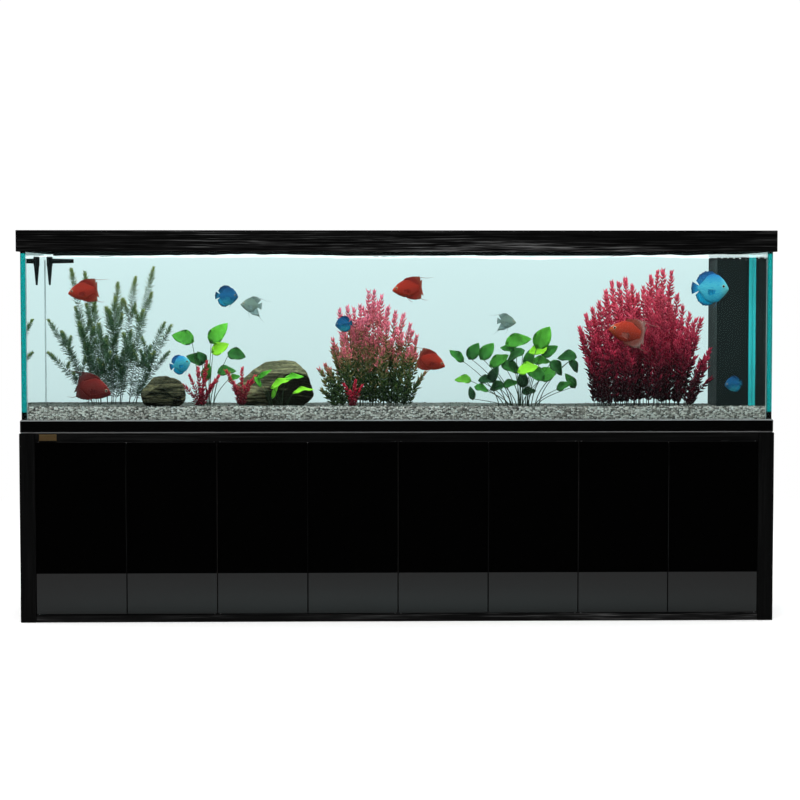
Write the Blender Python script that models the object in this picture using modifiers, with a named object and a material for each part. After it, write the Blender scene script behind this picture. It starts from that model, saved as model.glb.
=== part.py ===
"""A three-metre aquarium on a cabinet stand.

Metres, +Z up, the front towards -Y. The origin is on the floor, under the middle of the object.
The cabinet carries a glass tank with a black base trim. A hood with two lids closes the tank, and
the filter stands behind the right-hand doors.
"""

import math

import bmesh
import bpy
from mathutils import Vector

GAP = 0.0003  # clearance kept between pieces that touch
BORE_SIDES = 12
PIPE_STEPS = 6  # points along each bend of a pipe

# Cabinet
CABINET_W = 3.000
CABINET_D = 0.760
CABINET_H = 0.753
END_T = 0.062
RAIL_H = 0.0324
RAIL_D = 0.036
FLOOR_BOARD_H = 0.0307
FRONT_SET_BACK = 0.003  # doors and rails behind the end panels' front edges
BACK_PANEL_T = 0.012
PARTITION_T = 0.036
VENT_W = 0.300
VENT_H = 0.120
PLATE_W = 0.068
PLATE_H = 0.024
PLATE_T = 0.0012
PLATE_FROM_END = 0.017

# Doors
DOOR_COUNT = 8
DOOR_T = 0.018
DOOR_GAP = 0.003
DOOR_GAP_Z = 0.002
DOOR_BACK_CLEARANCE = 0.007
PIVOT_FROM_EDGE = 0.010
PIVOT_FROM_FRONT = 0.006
ROD_R = 0.0025
BORE_R = 0.0031
ROD_SEAT = 0.010  # how far a pivot rod reaches into each rail

# Tank
GLASS_T = 0.019
TANK_W = 2.981
TANK_D = 0.740
TANK_TOP = 1.500
TRIM_W = 2.9945
TRIM_D = 0.752
TRIM_H = 0.0537
TRIM_CHAMFER = 0.005
BRACE_T = 0.012
BRACE_W = 0.060
BRACE_TOP = 1.498
CROSS_BRACE_W = 0.080

# Hood
HOOD_W = 3.011
HOOD_D = 0.768
HOOD_BOTTOM = 1.472
HOOD_TOP = 1.5563
HOOD_WALL = 0.0125
HOOD_LEDGE = 0.020  # the part of the wall that stands on the tank's top edge
HOOD_ROOF_T = 0.018
LID_T = 0.0114
LID_GAP = 0.003
LID_OPENING_X = (0.030, 1.460)
LID_OPENING_Y = (-0.345, 0.200)
LID_LEDGE = 0.010
LID_PIVOT_FROM_EDGE = 0.008
LID_PIVOT_DROP = 0.0057
LID_BACK_RELIEF = 0.030
FINGER_R = 0.025
LIGHT_BAR_W = 0.060
LIGHT_BAR_H = 0.018
LIGHT_BAR_Z = 1.512
LIGHT_BARS_Y = {"front": -0.160, "back": 0.080}

# Overflow, pipes and filter
OVERFLOW_LOW = (1.325, 0.068)
OVERFLOW_HIGH = (1.464, 0.3504)
OVERFLOW_TOP = 1.460
OVERFLOW_WALL = 0.006
SLOT_W = 0.008
SLOT_Z = (1.440, 1.453)
SLOT_PITCH = 0.0248
FRONT_SLOTS = 5
SIDE_SLOTS = 9
DRAIN_R = 0.016
RETURN_R = 0.009
PIPE_WALL = 0.002
HOLE_CLEARANCE = 0.002
DRAIN_X = 1.395
DRAIN_Y = 0.145
DRAIN_TOP = 1.300
DRAIN_CROSS_Z = 0.600
DRAIN_OUTLET = (0.850, 0.400)  # x and z of its lower end
RETURN_X = 1.355
RETURN_Y = 0.280
RETURN_CROSS_Z = 1.474
NOZZLE_X = -1.444
NOZZLE_TOP = 1.460
NOZZLE_R = 0.0125
NOZZLE_DROP = 0.120
NOZZLE_REACH = 0.100
NOZZLE_ARM_Z = 1.440
SUMP_LOW = (0.757, -0.125)
SUMP_HIGH = (1.417, 0.345)
SUMP_H = 0.400
SUMP_WALL = 0.008
BAFFLE_T = 0.006
BAFFLE_X = 0.935
BAFFLE_H = 0.300
SPONGE_H = 0.260
PUMP_SIZE = (0.090, 0.090, 0.110)
PUMP_RISER_TOP = 0.470
VALVE_H = 0.060
VALVE_R = 0.021
VALVE_STEM_R = 0.009
VALVE_STEM_REACH = 0.036
HANDLE_L = 0.075
HANDLE_W = 0.014
HANDLE_T = 0.007
HEATER_AT = (1.070, 0.280)
HEATER_R = 0.012
HEATER_L = 0.320

# Contents of the tank
GRAVEL_TOP = 0.850
GRAVEL_GAP = 0.0006
SEED_STEP = 1.7  # phase step between the lumps of one stone and the next

# Worked out from the dimensions above
DECK_Z = CABINET_H + GAP
TANK_FLOOR = DECK_Z + GLASS_T
TRIM_TOP = DECK_Z + TRIM_H - GAP
INSIDE_X = TANK_W / 2 - GLASS_T
INSIDE_Y = TANK_D / 2 - GLASS_T
FRONT_Y = -CABINET_D / 2 + FRONT_SET_BACK
DOOR_BACK_Y = FRONT_Y + DOOR_T
DOORWAY_X = CABINET_W / 2 - END_T
DOOR_PITCH = 2 * DOORWAY_X / DOOR_COUNT
DOOR_LOW_Z = FLOOR_BOARD_H + DOOR_GAP_Z
DOOR_HIGH_Z = CABINET_H - RAIL_H - DOOR_GAP_Z
PIVOT_Y = FRONT_Y + PIVOT_FROM_FRONT
BACK_PANEL_Y = CABINET_D / 2 - BACK_PANEL_T
LID_AXIS_Y = LID_OPENING_Y[1] - LID_GAP - LID_PIVOT_FROM_EDGE
LID_AXIS_Z = HOOD_TOP - LID_PIVOT_DROP
SUMP_FLOOR = FLOOR_BOARD_H + GAP + SUMP_WALL

# Colour, roughness and metallic value of each finish
FINISHES = {
    "black_wood": ((0.012, 0.012, 0.013), 0.42, 0.0),
    "black_gloss": ((0.004, 0.004, 0.004), 0.06, 0.0),
    "raw_board": ((0.055, 0.050, 0.046), 0.65, 0.0),
    "glass": ((0.72, 0.93, 0.90), 0.02, 0.0),
    "black_plastic": ((0.010, 0.010, 0.011), 0.35, 0.0),
    "grey_pipe": ((0.30, 0.31, 0.32), 0.45, 0.0),
    "steel": ((0.60, 0.60, 0.60), 0.30, 1.0),
    "brass": ((0.62, 0.40, 0.18), 0.32, 1.0),
    "red_plastic": ((0.45, 0.02, 0.02), 0.40, 0.0),
    "sponge": ((0.025, 0.045, 0.09), 0.95, 0.0),
    "lamp": ((0.85, 0.87, 0.88), 0.40, 0.0),
    "gravel": ((0.30, 0.28, 0.27), 0.90, 0.0),
    "stone": ((0.085, 0.078, 0.058), 0.85, 0.0),
    "green_leaf": ((0.06, 0.26, 0.04), 0.55, 0.0),
    "red_leaf": ((0.42, 0.03, 0.05), 0.55, 0.0),
}


def collection(name):
    """A new collection in the scene."""
    made = bpy.data.collections.new(name)
    bpy.context.scene.collection.children.link(made)
    return made


def place(name, mesh, home, at=(0, 0, 0)):
    """An object for mesh in the collection home."""
    obj = bpy.data.objects.new(name, mesh)
    obj.location = at
    home.objects.link(obj)
    return obj


def paint(obj, finish):
    """Gives obj its own material in a named finish."""
    colour, roughness, metallic = FINISHES[finish]
    material = bpy.data.materials.new(obj.name)
    material.use_nodes = True
    shader = material.node_tree.nodes["Principled BSDF"]
    shader.inputs["Base Color"].default_value = (*colour, 1)
    shader.inputs["Roughness"].default_value = roughness
    shader.inputs["Metallic"].default_value = metallic
    obj.data.materials.clear()
    obj.data.materials.append(material)


def add_box(shape, low, high):
    """Adds a box between two corners to a bmesh."""
    low, high = Vector(low), Vector(high)
    corners = bmesh.ops.create_cube(shape, size=1.0)["verts"]
    bmesh.ops.scale(shape, vec=high - low, verts=corners)
    bmesh.ops.translate(shape, vec=(low + high) / 2, verts=corners)


def add_rod(shape, start, end, radius, end_radius=None, sides=BORE_SIDES, flat=1.0):
    """Adds a round or tapered rod from start to end. flat thins its far end into a slit."""
    start, end = Vector(start), Vector(end)
    along = end - start
    ring = bmesh.ops.create_cone(
        shape,
        cap_ends=True,
        segments=sides,
        radius1=radius,
        radius2=radius if end_radius is None else end_radius,
        depth=along.length,
    )["verts"]
    for vert in ring:
        if vert.co.z > 0:
            vert.co.y *= flat
    turn = Vector((0, 0, 1)).rotation_difference(along).to_matrix()
    bmesh.ops.rotate(shape, matrix=turn, verts=ring)
    bmesh.ops.translate(shape, vec=(start + end) / 2, verts=ring)


def finish_mesh(name, shape, origin=(0, 0, 0)):
    """Turns a bmesh into a mesh whose zero is at origin."""
    bmesh.ops.translate(shape, vec=-Vector(origin), verts=shape.verts)
    mesh = bpy.data.meshes.new(name)
    shape.to_mesh(mesh)
    shape.free()
    return mesh


def box(name, low, high, finish, bevel=0.0, origin=None):
    """A board, pane or block between two corners, with its edges eased by bevel."""
    origin = Vector(origin) if origin else (Vector(low) + Vector(high)) / 2
    shape = bmesh.new()
    add_box(shape, low, high)
    obj = place(name, finish_mesh(name, shape, origin), PARTS, origin)
    paint(obj, finish)
    if bevel:
        ease = obj.modifiers.new("eased_edges", "BEVEL")
        ease.width = bevel
        ease.segments = 1
    return obj


def rod(name, start, end, radius, finish, sides=BORE_SIDES):
    """A plain round rod."""
    shape = bmesh.new()
    middle = (Vector(start) + Vector(end)) / 2
    add_rod(shape, start, end, radius, sides=sides)
    mesh = finish_mesh(name, shape, middle)
    mesh.shade_smooth()
    mesh.set_sharp_from_angle(angle=math.radians(40))
    obj = place(name, mesh, PARTS, middle)
    paint(obj, finish)
    return obj


def use_boolean(obj, name, shape, operation):
    """Applies a bmesh in world space to obj as a Boolean, through a hidden cutter."""
    cutter = place(name, finish_mesh(name, shape), CUTTERS)
    cutter.display_type = "WIRE"
    cutter.hide_render = True
    step = obj.modifiers.new(name, "BOOLEAN")
    step.operation = operation
    step.solver = "EXACT"
    step.object = cutter
    return step


def cut_boxes(obj, name, boxes):
    """Cuts boxes, each given by two corners, out of obj."""
    shape = bmesh.new()
    for low, high in boxes:
        add_box(shape, low, high)
    use_boolean(obj, name, shape, "DIFFERENCE")


def cut_rods(obj, name, rods, sides=BORE_SIDES):
    """Cuts round bores, each (start, end, radius), out of obj."""
    shape = bmesh.new()
    for start, end, radius in rods:
        add_rod(shape, start, end, radius, sides=sides)
    use_boolean(obj, name, shape, "DIFFERENCE")


def rounded_route(corners, bend):
    """The points of a route through corners, with an arc of radius bend at each turn."""
    corners = [Vector(c) for c in corners]
    points = [corners[0]]
    for before, at, after in zip(corners, corners[1:], corners[2:]):
        back, on = (before - at).normalized(), (after - at).normalized()
        centre = at + (back + on) * bend
        for step in range(PIPE_STEPS + 1):
            turn = math.radians(90) * step / PIPE_STEPS
            points.append(centre - on * bend * math.cos(turn) - back * bend * math.sin(turn))
    return points + [corners[-1]]


def pipe(name, corners, radius, bend, finish):
    """A hollow pipe along square turns, open at both ends."""
    points = rounded_route(corners, bend)
    curve = bpy.data.curves.new(name, "CURVE")
    curve.dimensions = "3D"
    curve.bevel_depth = radius
    curve.bevel_resolution = 4
    line = curve.splines.new("POLY")
    line.points.add(len(points) - 1)
    for point, co in zip(line.points, points):
        point.co = (*co, 1)
    guide = place(name + "_route", curve, CUTTERS)
    seen = guide.evaluated_get(bpy.context.evaluated_depsgraph_get())
    mesh = bpy.data.meshes.new_from_object(seen)
    bpy.data.objects.remove(guide)
    shape = bmesh.new()
    shape.from_mesh(mesh)
    bmesh.ops.remove_doubles(shape, verts=shape.verts, dist=1e-5)
    bmesh.ops.recalc_face_normals(shape, faces=shape.faces)
    shape.to_mesh(mesh)
    shape.free()
    mesh.shade_smooth()
    obj = place(name, mesh, PARTS)
    paint(obj, finish)
    wall = obj.modifiers.new("wall", "SOLIDIFY")
    wall.thickness = PIPE_WALL
    wall.offset = -1
    return obj


def mound(name, centre, half, foot, finish, base=1.0, lumps=0.0, seed=0.0):
    """A rounded closed form that stands on the gravel: a stone, or the body of a plant.

    base is its width at the foot as a share of its full width. lumps is the height of the
    bumps on it, as a share of its size.
    """
    shape = bmesh.new()
    verts = bmesh.ops.create_icosphere(shape, subdivisions=3, radius=1.0)["verts"]
    for vert in verts:
        p = vert.co.copy()
        wave = math.sin(3.1 * p.x + seed) * math.cos(2.7 * p.y - seed) + math.sin(4.3 * p.z + 2 * seed)
        swell = 1 + lumps * wave
        height = min(max((p.z + 0.8) / 1.8, 0.0), 1.0)
        wide = base + (1 - base) * min(1.0, 2 * height)
        p.z = max(p.z, -0.8)
        vert.co = Vector((p.x * wide * swell, p.y * wide * swell, p.z * (swell if p.z > 0 else 1)))
    low = min(v.co.z for v in verts)
    high = max(v.co.z for v in verts)
    for vert in verts:
        vert.co.x *= half[0]
        vert.co.y *= half[1]
        vert.co.z = foot + (vert.co.z - low) / (high - low) * half[2] * 2
    bmesh.ops.translate(shape, vec=(centre[0], centre[1], 0), verts=verts)
    origin = Vector((centre[0], centre[1], foot))
    mesh = finish_mesh(name, shape, origin)
    mesh.shade_smooth()
    obj = place(name, mesh, PARTS, origin)
    paint(obj, finish)
    return obj


def door_pivot(number):
    """The x of a door's pivot. Doors come in pairs that open from their shared edge."""
    left = -DOORWAY_X + (number - 1) * DOOR_PITCH
    inset = DOOR_GAP / 2 + PIVOT_FROM_EDGE
    return left + inset if number % 2 else left + DOOR_PITCH - inset


def make_cabinet():
    """The panels of the stand."""
    front, back = -CABINET_D / 2, CABINET_D / 2
    inner = DOORWAY_X - GAP
    for side, sign in (("left", -1), ("right", 1)):
        near, far = sorted((sign * CABINET_W / 2, sign * DOORWAY_X))
        box(f"end_panel_{side}", (near, front, 0), (far, back, CABINET_H), "black_wood", 0.0015)

    board = box(
        "floor_board",
        (-inner, FRONT_Y, 0),
        (inner, BACK_PANEL_Y - GAP, FLOOR_BOARD_H),
        "black_wood",
        0.001,
    )
    rail = box(
        "top_rail",
        (-inner, FRONT_Y, CABINET_H - RAIL_H),
        (inner, FRONT_Y + RAIL_D, CABINET_H),
        "black_wood",
        0.001,
    )
    feet, heads = [], []
    for number in range(1, DOOR_COUNT + 1):
        x = door_pivot(number)
        foot = FLOOR_BOARD_H - ROD_SEAT - GAP
        head = CABINET_H - RAIL_H + ROD_SEAT + GAP
        feet.append(((x, PIVOT_Y, foot), (x, PIVOT_Y, DOOR_LOW_Z), BORE_R))
        heads.append(((x, PIVOT_Y, DOOR_HIGH_Z), (x, PIVOT_Y, head), BORE_R))
    cut_rods(board, "floor_board_seats", feet)
    cut_rods(rail, "top_rail_seats", heads)

    deck = box(
        "deck_board",
        (-inner, FRONT_Y + RAIL_D + GAP, CABINET_H - RAIL_H),
        (inner, BACK_PANEL_Y - GAP, CABINET_H),
        "raw_board",
    )
    cut_pipe_holes(deck, "deck_holes", CABINET_H - RAIL_H, CABINET_H)

    back_panel = box(
        "back_panel", (-inner, BACK_PANEL_Y, 0), (inner, back, CABINET_H), "black_wood", 0.001
    )
    vents = []
    for bay in range(DOOR_COUNT // 2):
        x = -DOORWAY_X + (2 * bay + 1) * DOOR_PITCH
        z = CABINET_H - RAIL_H - VENT_H
        low = (x - VENT_W / 2, BACK_PANEL_Y - 0.01, z - VENT_H / 2)
        vents.append((low, (x + VENT_W / 2, back + 0.01, z + VENT_H / 2)))
    cut_boxes(back_panel, "vent_openings", vents)

    for bay, side in enumerate(("left", "middle", "right"), start=1):
        x = -DOORWAY_X + 2 * bay * DOOR_PITCH
        box(
            f"partition_{side}",
            (x - PARTITION_T / 2, DOOR_BACK_Y + DOOR_BACK_CLEARANCE, FLOOR_BOARD_H + GAP),
            (x + PARTITION_T / 2, BACK_PANEL_Y - GAP, CABINET_H - RAIL_H - GAP),
            "raw_board",
        )

    plate_x = -DOORWAY_X + PLATE_FROM_END
    plate_z = CABINET_H - RAIL_H / 2
    box(
        "name_plate",
        (plate_x, FRONT_Y - GAP - PLATE_T, plate_z - PLATE_H / 2),
        (plate_x + PLATE_W, FRONT_Y - GAP, plate_z + PLATE_H / 2),
        "brass",
        0.0003,
    )


def cut_pipe_holes(obj, name, low, high):
    """The two holes under the overflow box that the drain and return pipes pass."""
    past = 0.01
    holes = []
    for x, y, radius in ((DRAIN_X, DRAIN_Y, DRAIN_R), (RETURN_X, RETURN_Y, RETURN_R)):
        holes.append(((x, y, low - past), (x, y, high + past), radius + HOLE_CLEARANCE))
    cut_rods(obj, name, holes, sides=20)


def make_doors():
    """Eight door leaves, each turning on a steel rod that stands in the rails."""
    for number in range(1, DOOR_COUNT + 1):
        left = -DOORWAY_X + (number - 1) * DOOR_PITCH + DOOR_GAP / 2
        right = left + DOOR_PITCH - DOOR_GAP
        x = door_pivot(number)
        leaf = box(
            f"door_{number}",
            (left, FRONT_Y, DOOR_LOW_Z),
            (right, DOOR_BACK_Y, DOOR_HIGH_Z),
            "black_gloss",
            0.001,
            origin=(x, PIVOT_Y, DOOR_LOW_Z),
        )
        low, high = DOOR_LOW_Z - 0.01, DOOR_HIGH_Z + 0.01
        cut_rods(leaf, f"door_{number}_bore", [((x, PIVOT_Y, low), (x, PIVOT_Y, high), BORE_R)])
        rod(
            f"door_pivot_rod_{number}",
            (x, PIVOT_Y, FLOOR_BOARD_H - ROD_SEAT),
            (x, PIVOT_Y, CABINET_H - RAIL_H + ROD_SEAT),
            ROD_R,
            "steel",
        )


def make_tank():
    """Five panes, the three braces that stiffen the rim, and the base trim."""
    half_w, half_d = TANK_W / 2, TANK_D / 2
    arris = 0.0008
    floor = box(
        "glass_bottom",
        (-INSIDE_X + GAP, -INSIDE_Y + GAP, DECK_Z),
        (INSIDE_X - GAP, INSIDE_Y - GAP, TANK_FLOOR),
        "glass",
    )
    cut_pipe_holes(floor, "glass_bottom_holes", DECK_Z, TANK_FLOOR)
    for side, sign in (("front", -1), ("back", 1)):
        near, far = sorted((sign * half_d, sign * INSIDE_Y))
        box(f"glass_{side}", (-half_w, near, DECK_Z), (half_w, far, TANK_TOP), "glass", arris)
    for side, sign in (("left", -1), ("right", 1)):
        near, far = sorted((sign * half_w, sign * INSIDE_X))
        low = (near, -INSIDE_Y + GAP, DECK_Z)
        box(f"glass_{side}", low, (far, INSIDE_Y - GAP, TANK_TOP), "glass", arris)

    brace_x, brace_y = INSIDE_X - GAP, INSIDE_Y - GAP
    inner_y = brace_y - BRACE_W
    low_z = BRACE_TOP - BRACE_T
    for side, near, far in (("front", -brace_y, -inner_y), ("back", inner_y, brace_y)):
        box(f"glass_brace_{side}", (-brace_x, near, low_z), (brace_x, far, BRACE_TOP), "glass")
    cross_x, cross_y = CROSS_BRACE_W / 2, inner_y - GAP
    low, high = (-cross_x, -cross_y, low_z), (cross_x, cross_y, BRACE_TOP)
    box("glass_brace_middle", low, high, "glass")

    trim = box(
        "base_trim",
        (-TRIM_W / 2, -TRIM_D / 2, DECK_Z),
        (TRIM_W / 2, TRIM_D / 2, TRIM_TOP),
        "black_gloss",
        TRIM_CHAMFER,
    )
    low = (-half_w - GAP, -half_d - GAP, DECK_Z - 0.01)
    cut_boxes(trim, "trim_opening", [(low, (half_w + GAP, half_d + GAP, TRIM_TOP + 0.01))])


def make_hood():
    """The hood's frame and roof, its two lids on one rod, and the two light bars."""
    half_w, half_d = HOOD_W / 2, HOOD_D / 2
    hood = box(
        "hood_frame",
        (-half_w, -half_d, HOOD_BOTTOM),
        (half_w, half_d, HOOD_TOP),
        "black_wood",
        0.0015,
    )
    over_tank = HOOD_WALL
    over_ledge = HOOD_WALL + HOOD_LEDGE
    ledge_z = TANK_TOP + GAP
    roof_z = HOOD_TOP - HOOD_ROOF_T
    lid_z = HOOD_TOP - LID_T - GAP
    cut_boxes(
        hood,
        "hood_socket",
        [
            (
                (-half_w + over_tank, -half_d + over_tank, HOOD_BOTTOM - 0.01),
                (half_w - over_tank, half_d - over_tank, ledge_z),
            )
        ],
    )
    cut_boxes(
        hood,
        "hood_cavity",
        [
            (
                (-half_w + over_ledge, -half_d + over_ledge, ledge_z - 0.005),
                (half_w - over_ledge, half_d - over_ledge, roof_z),
            )
        ],
    )
    inner, outer = LID_OPENING_X
    front, back = LID_OPENING_Y
    rebates, openings, reliefs = [], [], []
    for sign in (-1, 1):
        left, right = sorted((sign * inner, sign * outer))
        rebates.append(((left, front, lid_z), (right, back, HOOD_TOP + 0.01)))
        low = (left + LID_LEDGE, front + LID_LEDGE, roof_z - 0.005)
        openings.append((low, (right - LID_LEDGE, back - LID_BACK_RELIEF / 2, lid_z + 0.001)))
        low = (left, back - LID_BACK_RELIEF, roof_z - 0.005)
        reliefs.append((low, (right, back, lid_z + 0.001)))
    cut_boxes(hood, "lid_rebates", rebates)
    cut_boxes(hood, "lid_openings", openings)
    cut_boxes(hood, "lid_back_reliefs", reliefs)
    rod_end = outer + 0.010
    bore_end = rod_end + GAP
    bore = [((-bore_end, LID_AXIS_Y, LID_AXIS_Z), (bore_end, LID_AXIS_Y, LID_AXIS_Z), BORE_R)]
    cut_rods(hood, "hood_hinge_bore", bore)
    rod(
        "lid_hinge_rod",
        (-rod_end, LID_AXIS_Y, LID_AXIS_Z),
        (rod_end, LID_AXIS_Y, LID_AXIS_Z),
        ROD_R,
        "steel",
    )

    for side, sign in (("left", -1), ("right", 1)):
        left, right = sorted((sign * (inner + LID_GAP), sign * (outer - LID_GAP)))
        middle = (left + right) / 2
        lid = box(
            f"hood_lid_{side}",
            (left, front + LID_GAP, HOOD_TOP - LID_T),
            (right, back - LID_GAP, HOOD_TOP),
            "black_wood",
            0.0008,
            origin=(middle, LID_AXIS_Y, LID_AXIS_Z),
        )
        start = (left - 0.01, LID_AXIS_Y, LID_AXIS_Z)
        end = (right + 0.01, LID_AXIS_Y, LID_AXIS_Z)
        cut_rods(lid, f"lid_{side}_bore", [(start, end, BORE_R)])
        start = (middle, front + LID_GAP, HOOD_TOP - LID_T - 0.01)
        end = (middle, front + LID_GAP, HOOD_TOP + 0.01)
        cut_rods(lid, f"lid_{side}_finger_notch", [(start, end, FINGER_R)], sides=24)

    bar_x = half_w - over_ledge - GAP
    for side, y in LIGHT_BARS_Y.items():
        box(
            f"light_bar_{side}",
            (-bar_x, y - LIGHT_BAR_W / 2, LIGHT_BAR_Z),
            (bar_x, y + LIGHT_BAR_W / 2, LIGHT_BAR_Z + LIGHT_BAR_H),
            "lamp",
            0.002,
        )


def make_overflow():
    """The black overflow box in the back right corner, with slots for the surface water."""
    (left, front), (right, back) = OVERFLOW_LOW, OVERFLOW_HIGH
    shell = box(
        "overflow_box",
        (left, front, TANK_FLOOR + GAP),
        (right, back, OVERFLOW_TOP),
        "black_plastic",
    )
    wall = OVERFLOW_WALL
    low = (left + wall, front + wall, TANK_FLOOR - 0.01)
    cut_boxes(shell, "overflow_well", [(low, (right - wall, back - wall, OVERFLOW_TOP + 0.01))])
    slots = []
    middle_x, middle_y = (left + right) / 2, (front + back) / 2
    for index in range(FRONT_SLOTS):
        x = middle_x + (index - (FRONT_SLOTS - 1) / 2) * SLOT_PITCH
        low = (x - SLOT_W / 2, front - 0.01, SLOT_Z[0])
        slots.append((low, (x + SLOT_W / 2, front + wall + 0.005, SLOT_Z[1])))
    for index in range(SIDE_SLOTS):
        y = middle_y + (index - (SIDE_SLOTS - 1) / 2) * SLOT_PITCH
        low = (left - 0.01, y - SLOT_W / 2, SLOT_Z[0])
        slots.append((low, (left + wall + 0.005, y + SLOT_W / 2, SLOT_Z[1])))
    cut_boxes(shell, "overflow_slots", slots)


def make_pipes():
    """The drain from the overflow box to the filter, and the return to the far end of the tank."""
    outlet_x, outlet_z = DRAIN_OUTLET
    pipe(
        "drain_pipe",
        [
            (DRAIN_X, DRAIN_Y, DRAIN_TOP),
            (DRAIN_X, DRAIN_Y, DRAIN_CROSS_Z),
            (outlet_x, DRAIN_Y, DRAIN_CROSS_Z),
            (outlet_x, DRAIN_Y, outlet_z),
        ],
        DRAIN_R,
        0.040,
        "grey_pipe",
    )
    pipe(
        "return_pipe",
        [
            (RETURN_X, RETURN_Y, PUMP_RISER_TOP + VALVE_H + 2 * GAP),
            (RETURN_X, RETURN_Y, RETURN_CROSS_Z),
            (NOZZLE_X, RETURN_Y, RETURN_CROSS_Z),
            (NOZZLE_X, RETURN_Y, NOZZLE_TOP + GAP),
        ],
        RETURN_R,
        0.013,
        "black_plastic",
    )

    # The nozzle has two flat bills: one down, one along the tank.
    shape = bmesh.new()
    top = (NOZZLE_X, RETURN_Y, NOZZLE_TOP)
    elbow = (NOZZLE_X, RETURN_Y, NOZZLE_ARM_Z - 0.020)
    add_rod(shape, top, elbow, NOZZLE_R, sides=16)
    mesh = finish_mesh("return_nozzle", shape)
    mesh.shade_smooth()
    mesh.set_sharp_from_angle(angle=math.radians(40))
    nozzle = place("return_nozzle", mesh, PARTS)
    paint(nozzle, "black_plastic")
    down = bmesh.new()
    end = (NOZZLE_X, RETURN_Y, NOZZLE_TOP - NOZZLE_DROP)
    add_rod(down, (elbow[0], elbow[1], elbow[2] + 0.004), end, NOZZLE_R * 0.92, 0.009, 16, 0.45)
    use_boolean(nozzle, "nozzle_down_bill", down, "UNION")
    along = bmesh.new()
    end = (NOZZLE_X + NOZZLE_REACH, RETURN_Y, NOZZLE_ARM_Z)
    add_rod(along, (NOZZLE_X, RETURN_Y, NOZZLE_ARM_Z), end, NOZZLE_R * 0.85, 0.008, 16, 0.45)
    use_boolean(nozzle, "nozzle_side_bill", along, "UNION")


def make_filter():
    """The sump with its baffle and sponge, and the pump, valve and heater."""
    (left, front), (right, back) = SUMP_LOW, SUMP_HIGH
    wall = SUMP_WALL
    base = FLOOR_BOARD_H + GAP
    top = base + SUMP_H
    sump = box("sump_tank", (left, front, base), (right, back, top), "glass")
    low = (left + wall, front + wall, SUMP_FLOOR)
    cut_boxes(sump, "sump_well", [(low, (right - wall, back - wall, top + 0.01))])
    inner_front, inner_back = front + wall + GAP, back - wall - GAP
    low = (BAFFLE_X, inner_front, SUMP_FLOOR + GAP)
    box("sump_baffle", low, (BAFFLE_X + BAFFLE_T, inner_back, SUMP_FLOOR + BAFFLE_H), "glass")
    box(
        "filter_sponge",
        (left + wall + 0.001, inner_front + 0.001, SUMP_FLOOR + GAP),
        (BAFFLE_X - 0.001, inner_back - 0.001, SUMP_FLOOR + SPONGE_H),
        "sponge",
        0.004,
    )

    half_x, half_y, height = PUMP_SIZE[0] / 2, PUMP_SIZE[1] / 2, PUMP_SIZE[2]
    pump = box(
        "return_pump",
        (RETURN_X - half_x, RETURN_Y - half_y, SUMP_FLOOR + GAP),
        (RETURN_X + half_x, RETURN_Y + half_y, SUMP_FLOOR + height),
        "black_plastic",
        0.008,
    )
    riser = bmesh.new()
    start = (RETURN_X, RETURN_Y, SUMP_FLOOR + height - 0.020)
    add_rod(riser, start, (RETURN_X, RETURN_Y, PUMP_RISER_TOP), RETURN_R * 1.3, sides=16)
    use_boolean(pump, "pump_riser", riser, "UNION")

    shape = bmesh.new()
    foot = PUMP_RISER_TOP + GAP
    add_rod(shape, (RETURN_X, RETURN_Y, foot), (RETURN_X, RETURN_Y, foot + VALVE_H), VALVE_R, sides=20)
    mesh = finish_mesh("valve_body", shape)
    mesh.shade_smooth()
    mesh.set_sharp_from_angle(angle=math.radians(40))
    valve = place("valve_body", mesh, PARTS)
    paint(valve, "grey_pipe")
    stem = bmesh.new()
    stem_z = foot + VALVE_H / 2
    stem_end = (RETURN_X, RETURN_Y - VALVE_STEM_REACH, stem_z)
    add_rod(stem, (RETURN_X, RETURN_Y, stem_z), stem_end, VALVE_STEM_R, sides=16)
    use_boolean(valve, "valve_stem", stem, "UNION")

    face = RETURN_Y - VALVE_STEM_REACH - GAP
    handle_low = (RETURN_X - HANDLE_W / 2, face - HANDLE_T, stem_z - HANDLE_W / 2)
    handle_high = (RETURN_X + HANDLE_W / 2, face, stem_z - HANDLE_W / 2 + HANDLE_L)
    handle = box(
        "valve_handle",
        handle_low,
        handle_high,
        "red_plastic",
        0.002,
        origin=(RETURN_X, face, stem_z),
    )
    hub = bmesh.new()
    start = (RETURN_X, face - HANDLE_T - 0.003, stem_z)
    add_rod(hub, start, (RETURN_X, face - 0.0005, stem_z), VALVE_STEM_R * 1.3, sides=16)
    use_boolean(handle, "handle_hub", hub, "UNION")

    x, y = HEATER_AT
    foot = SUMP_FLOOR + GAP
    rod("heater", (x, y, foot), (x, y, foot + HEATER_L), HEATER_R, "black_plastic", sides=16)


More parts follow.
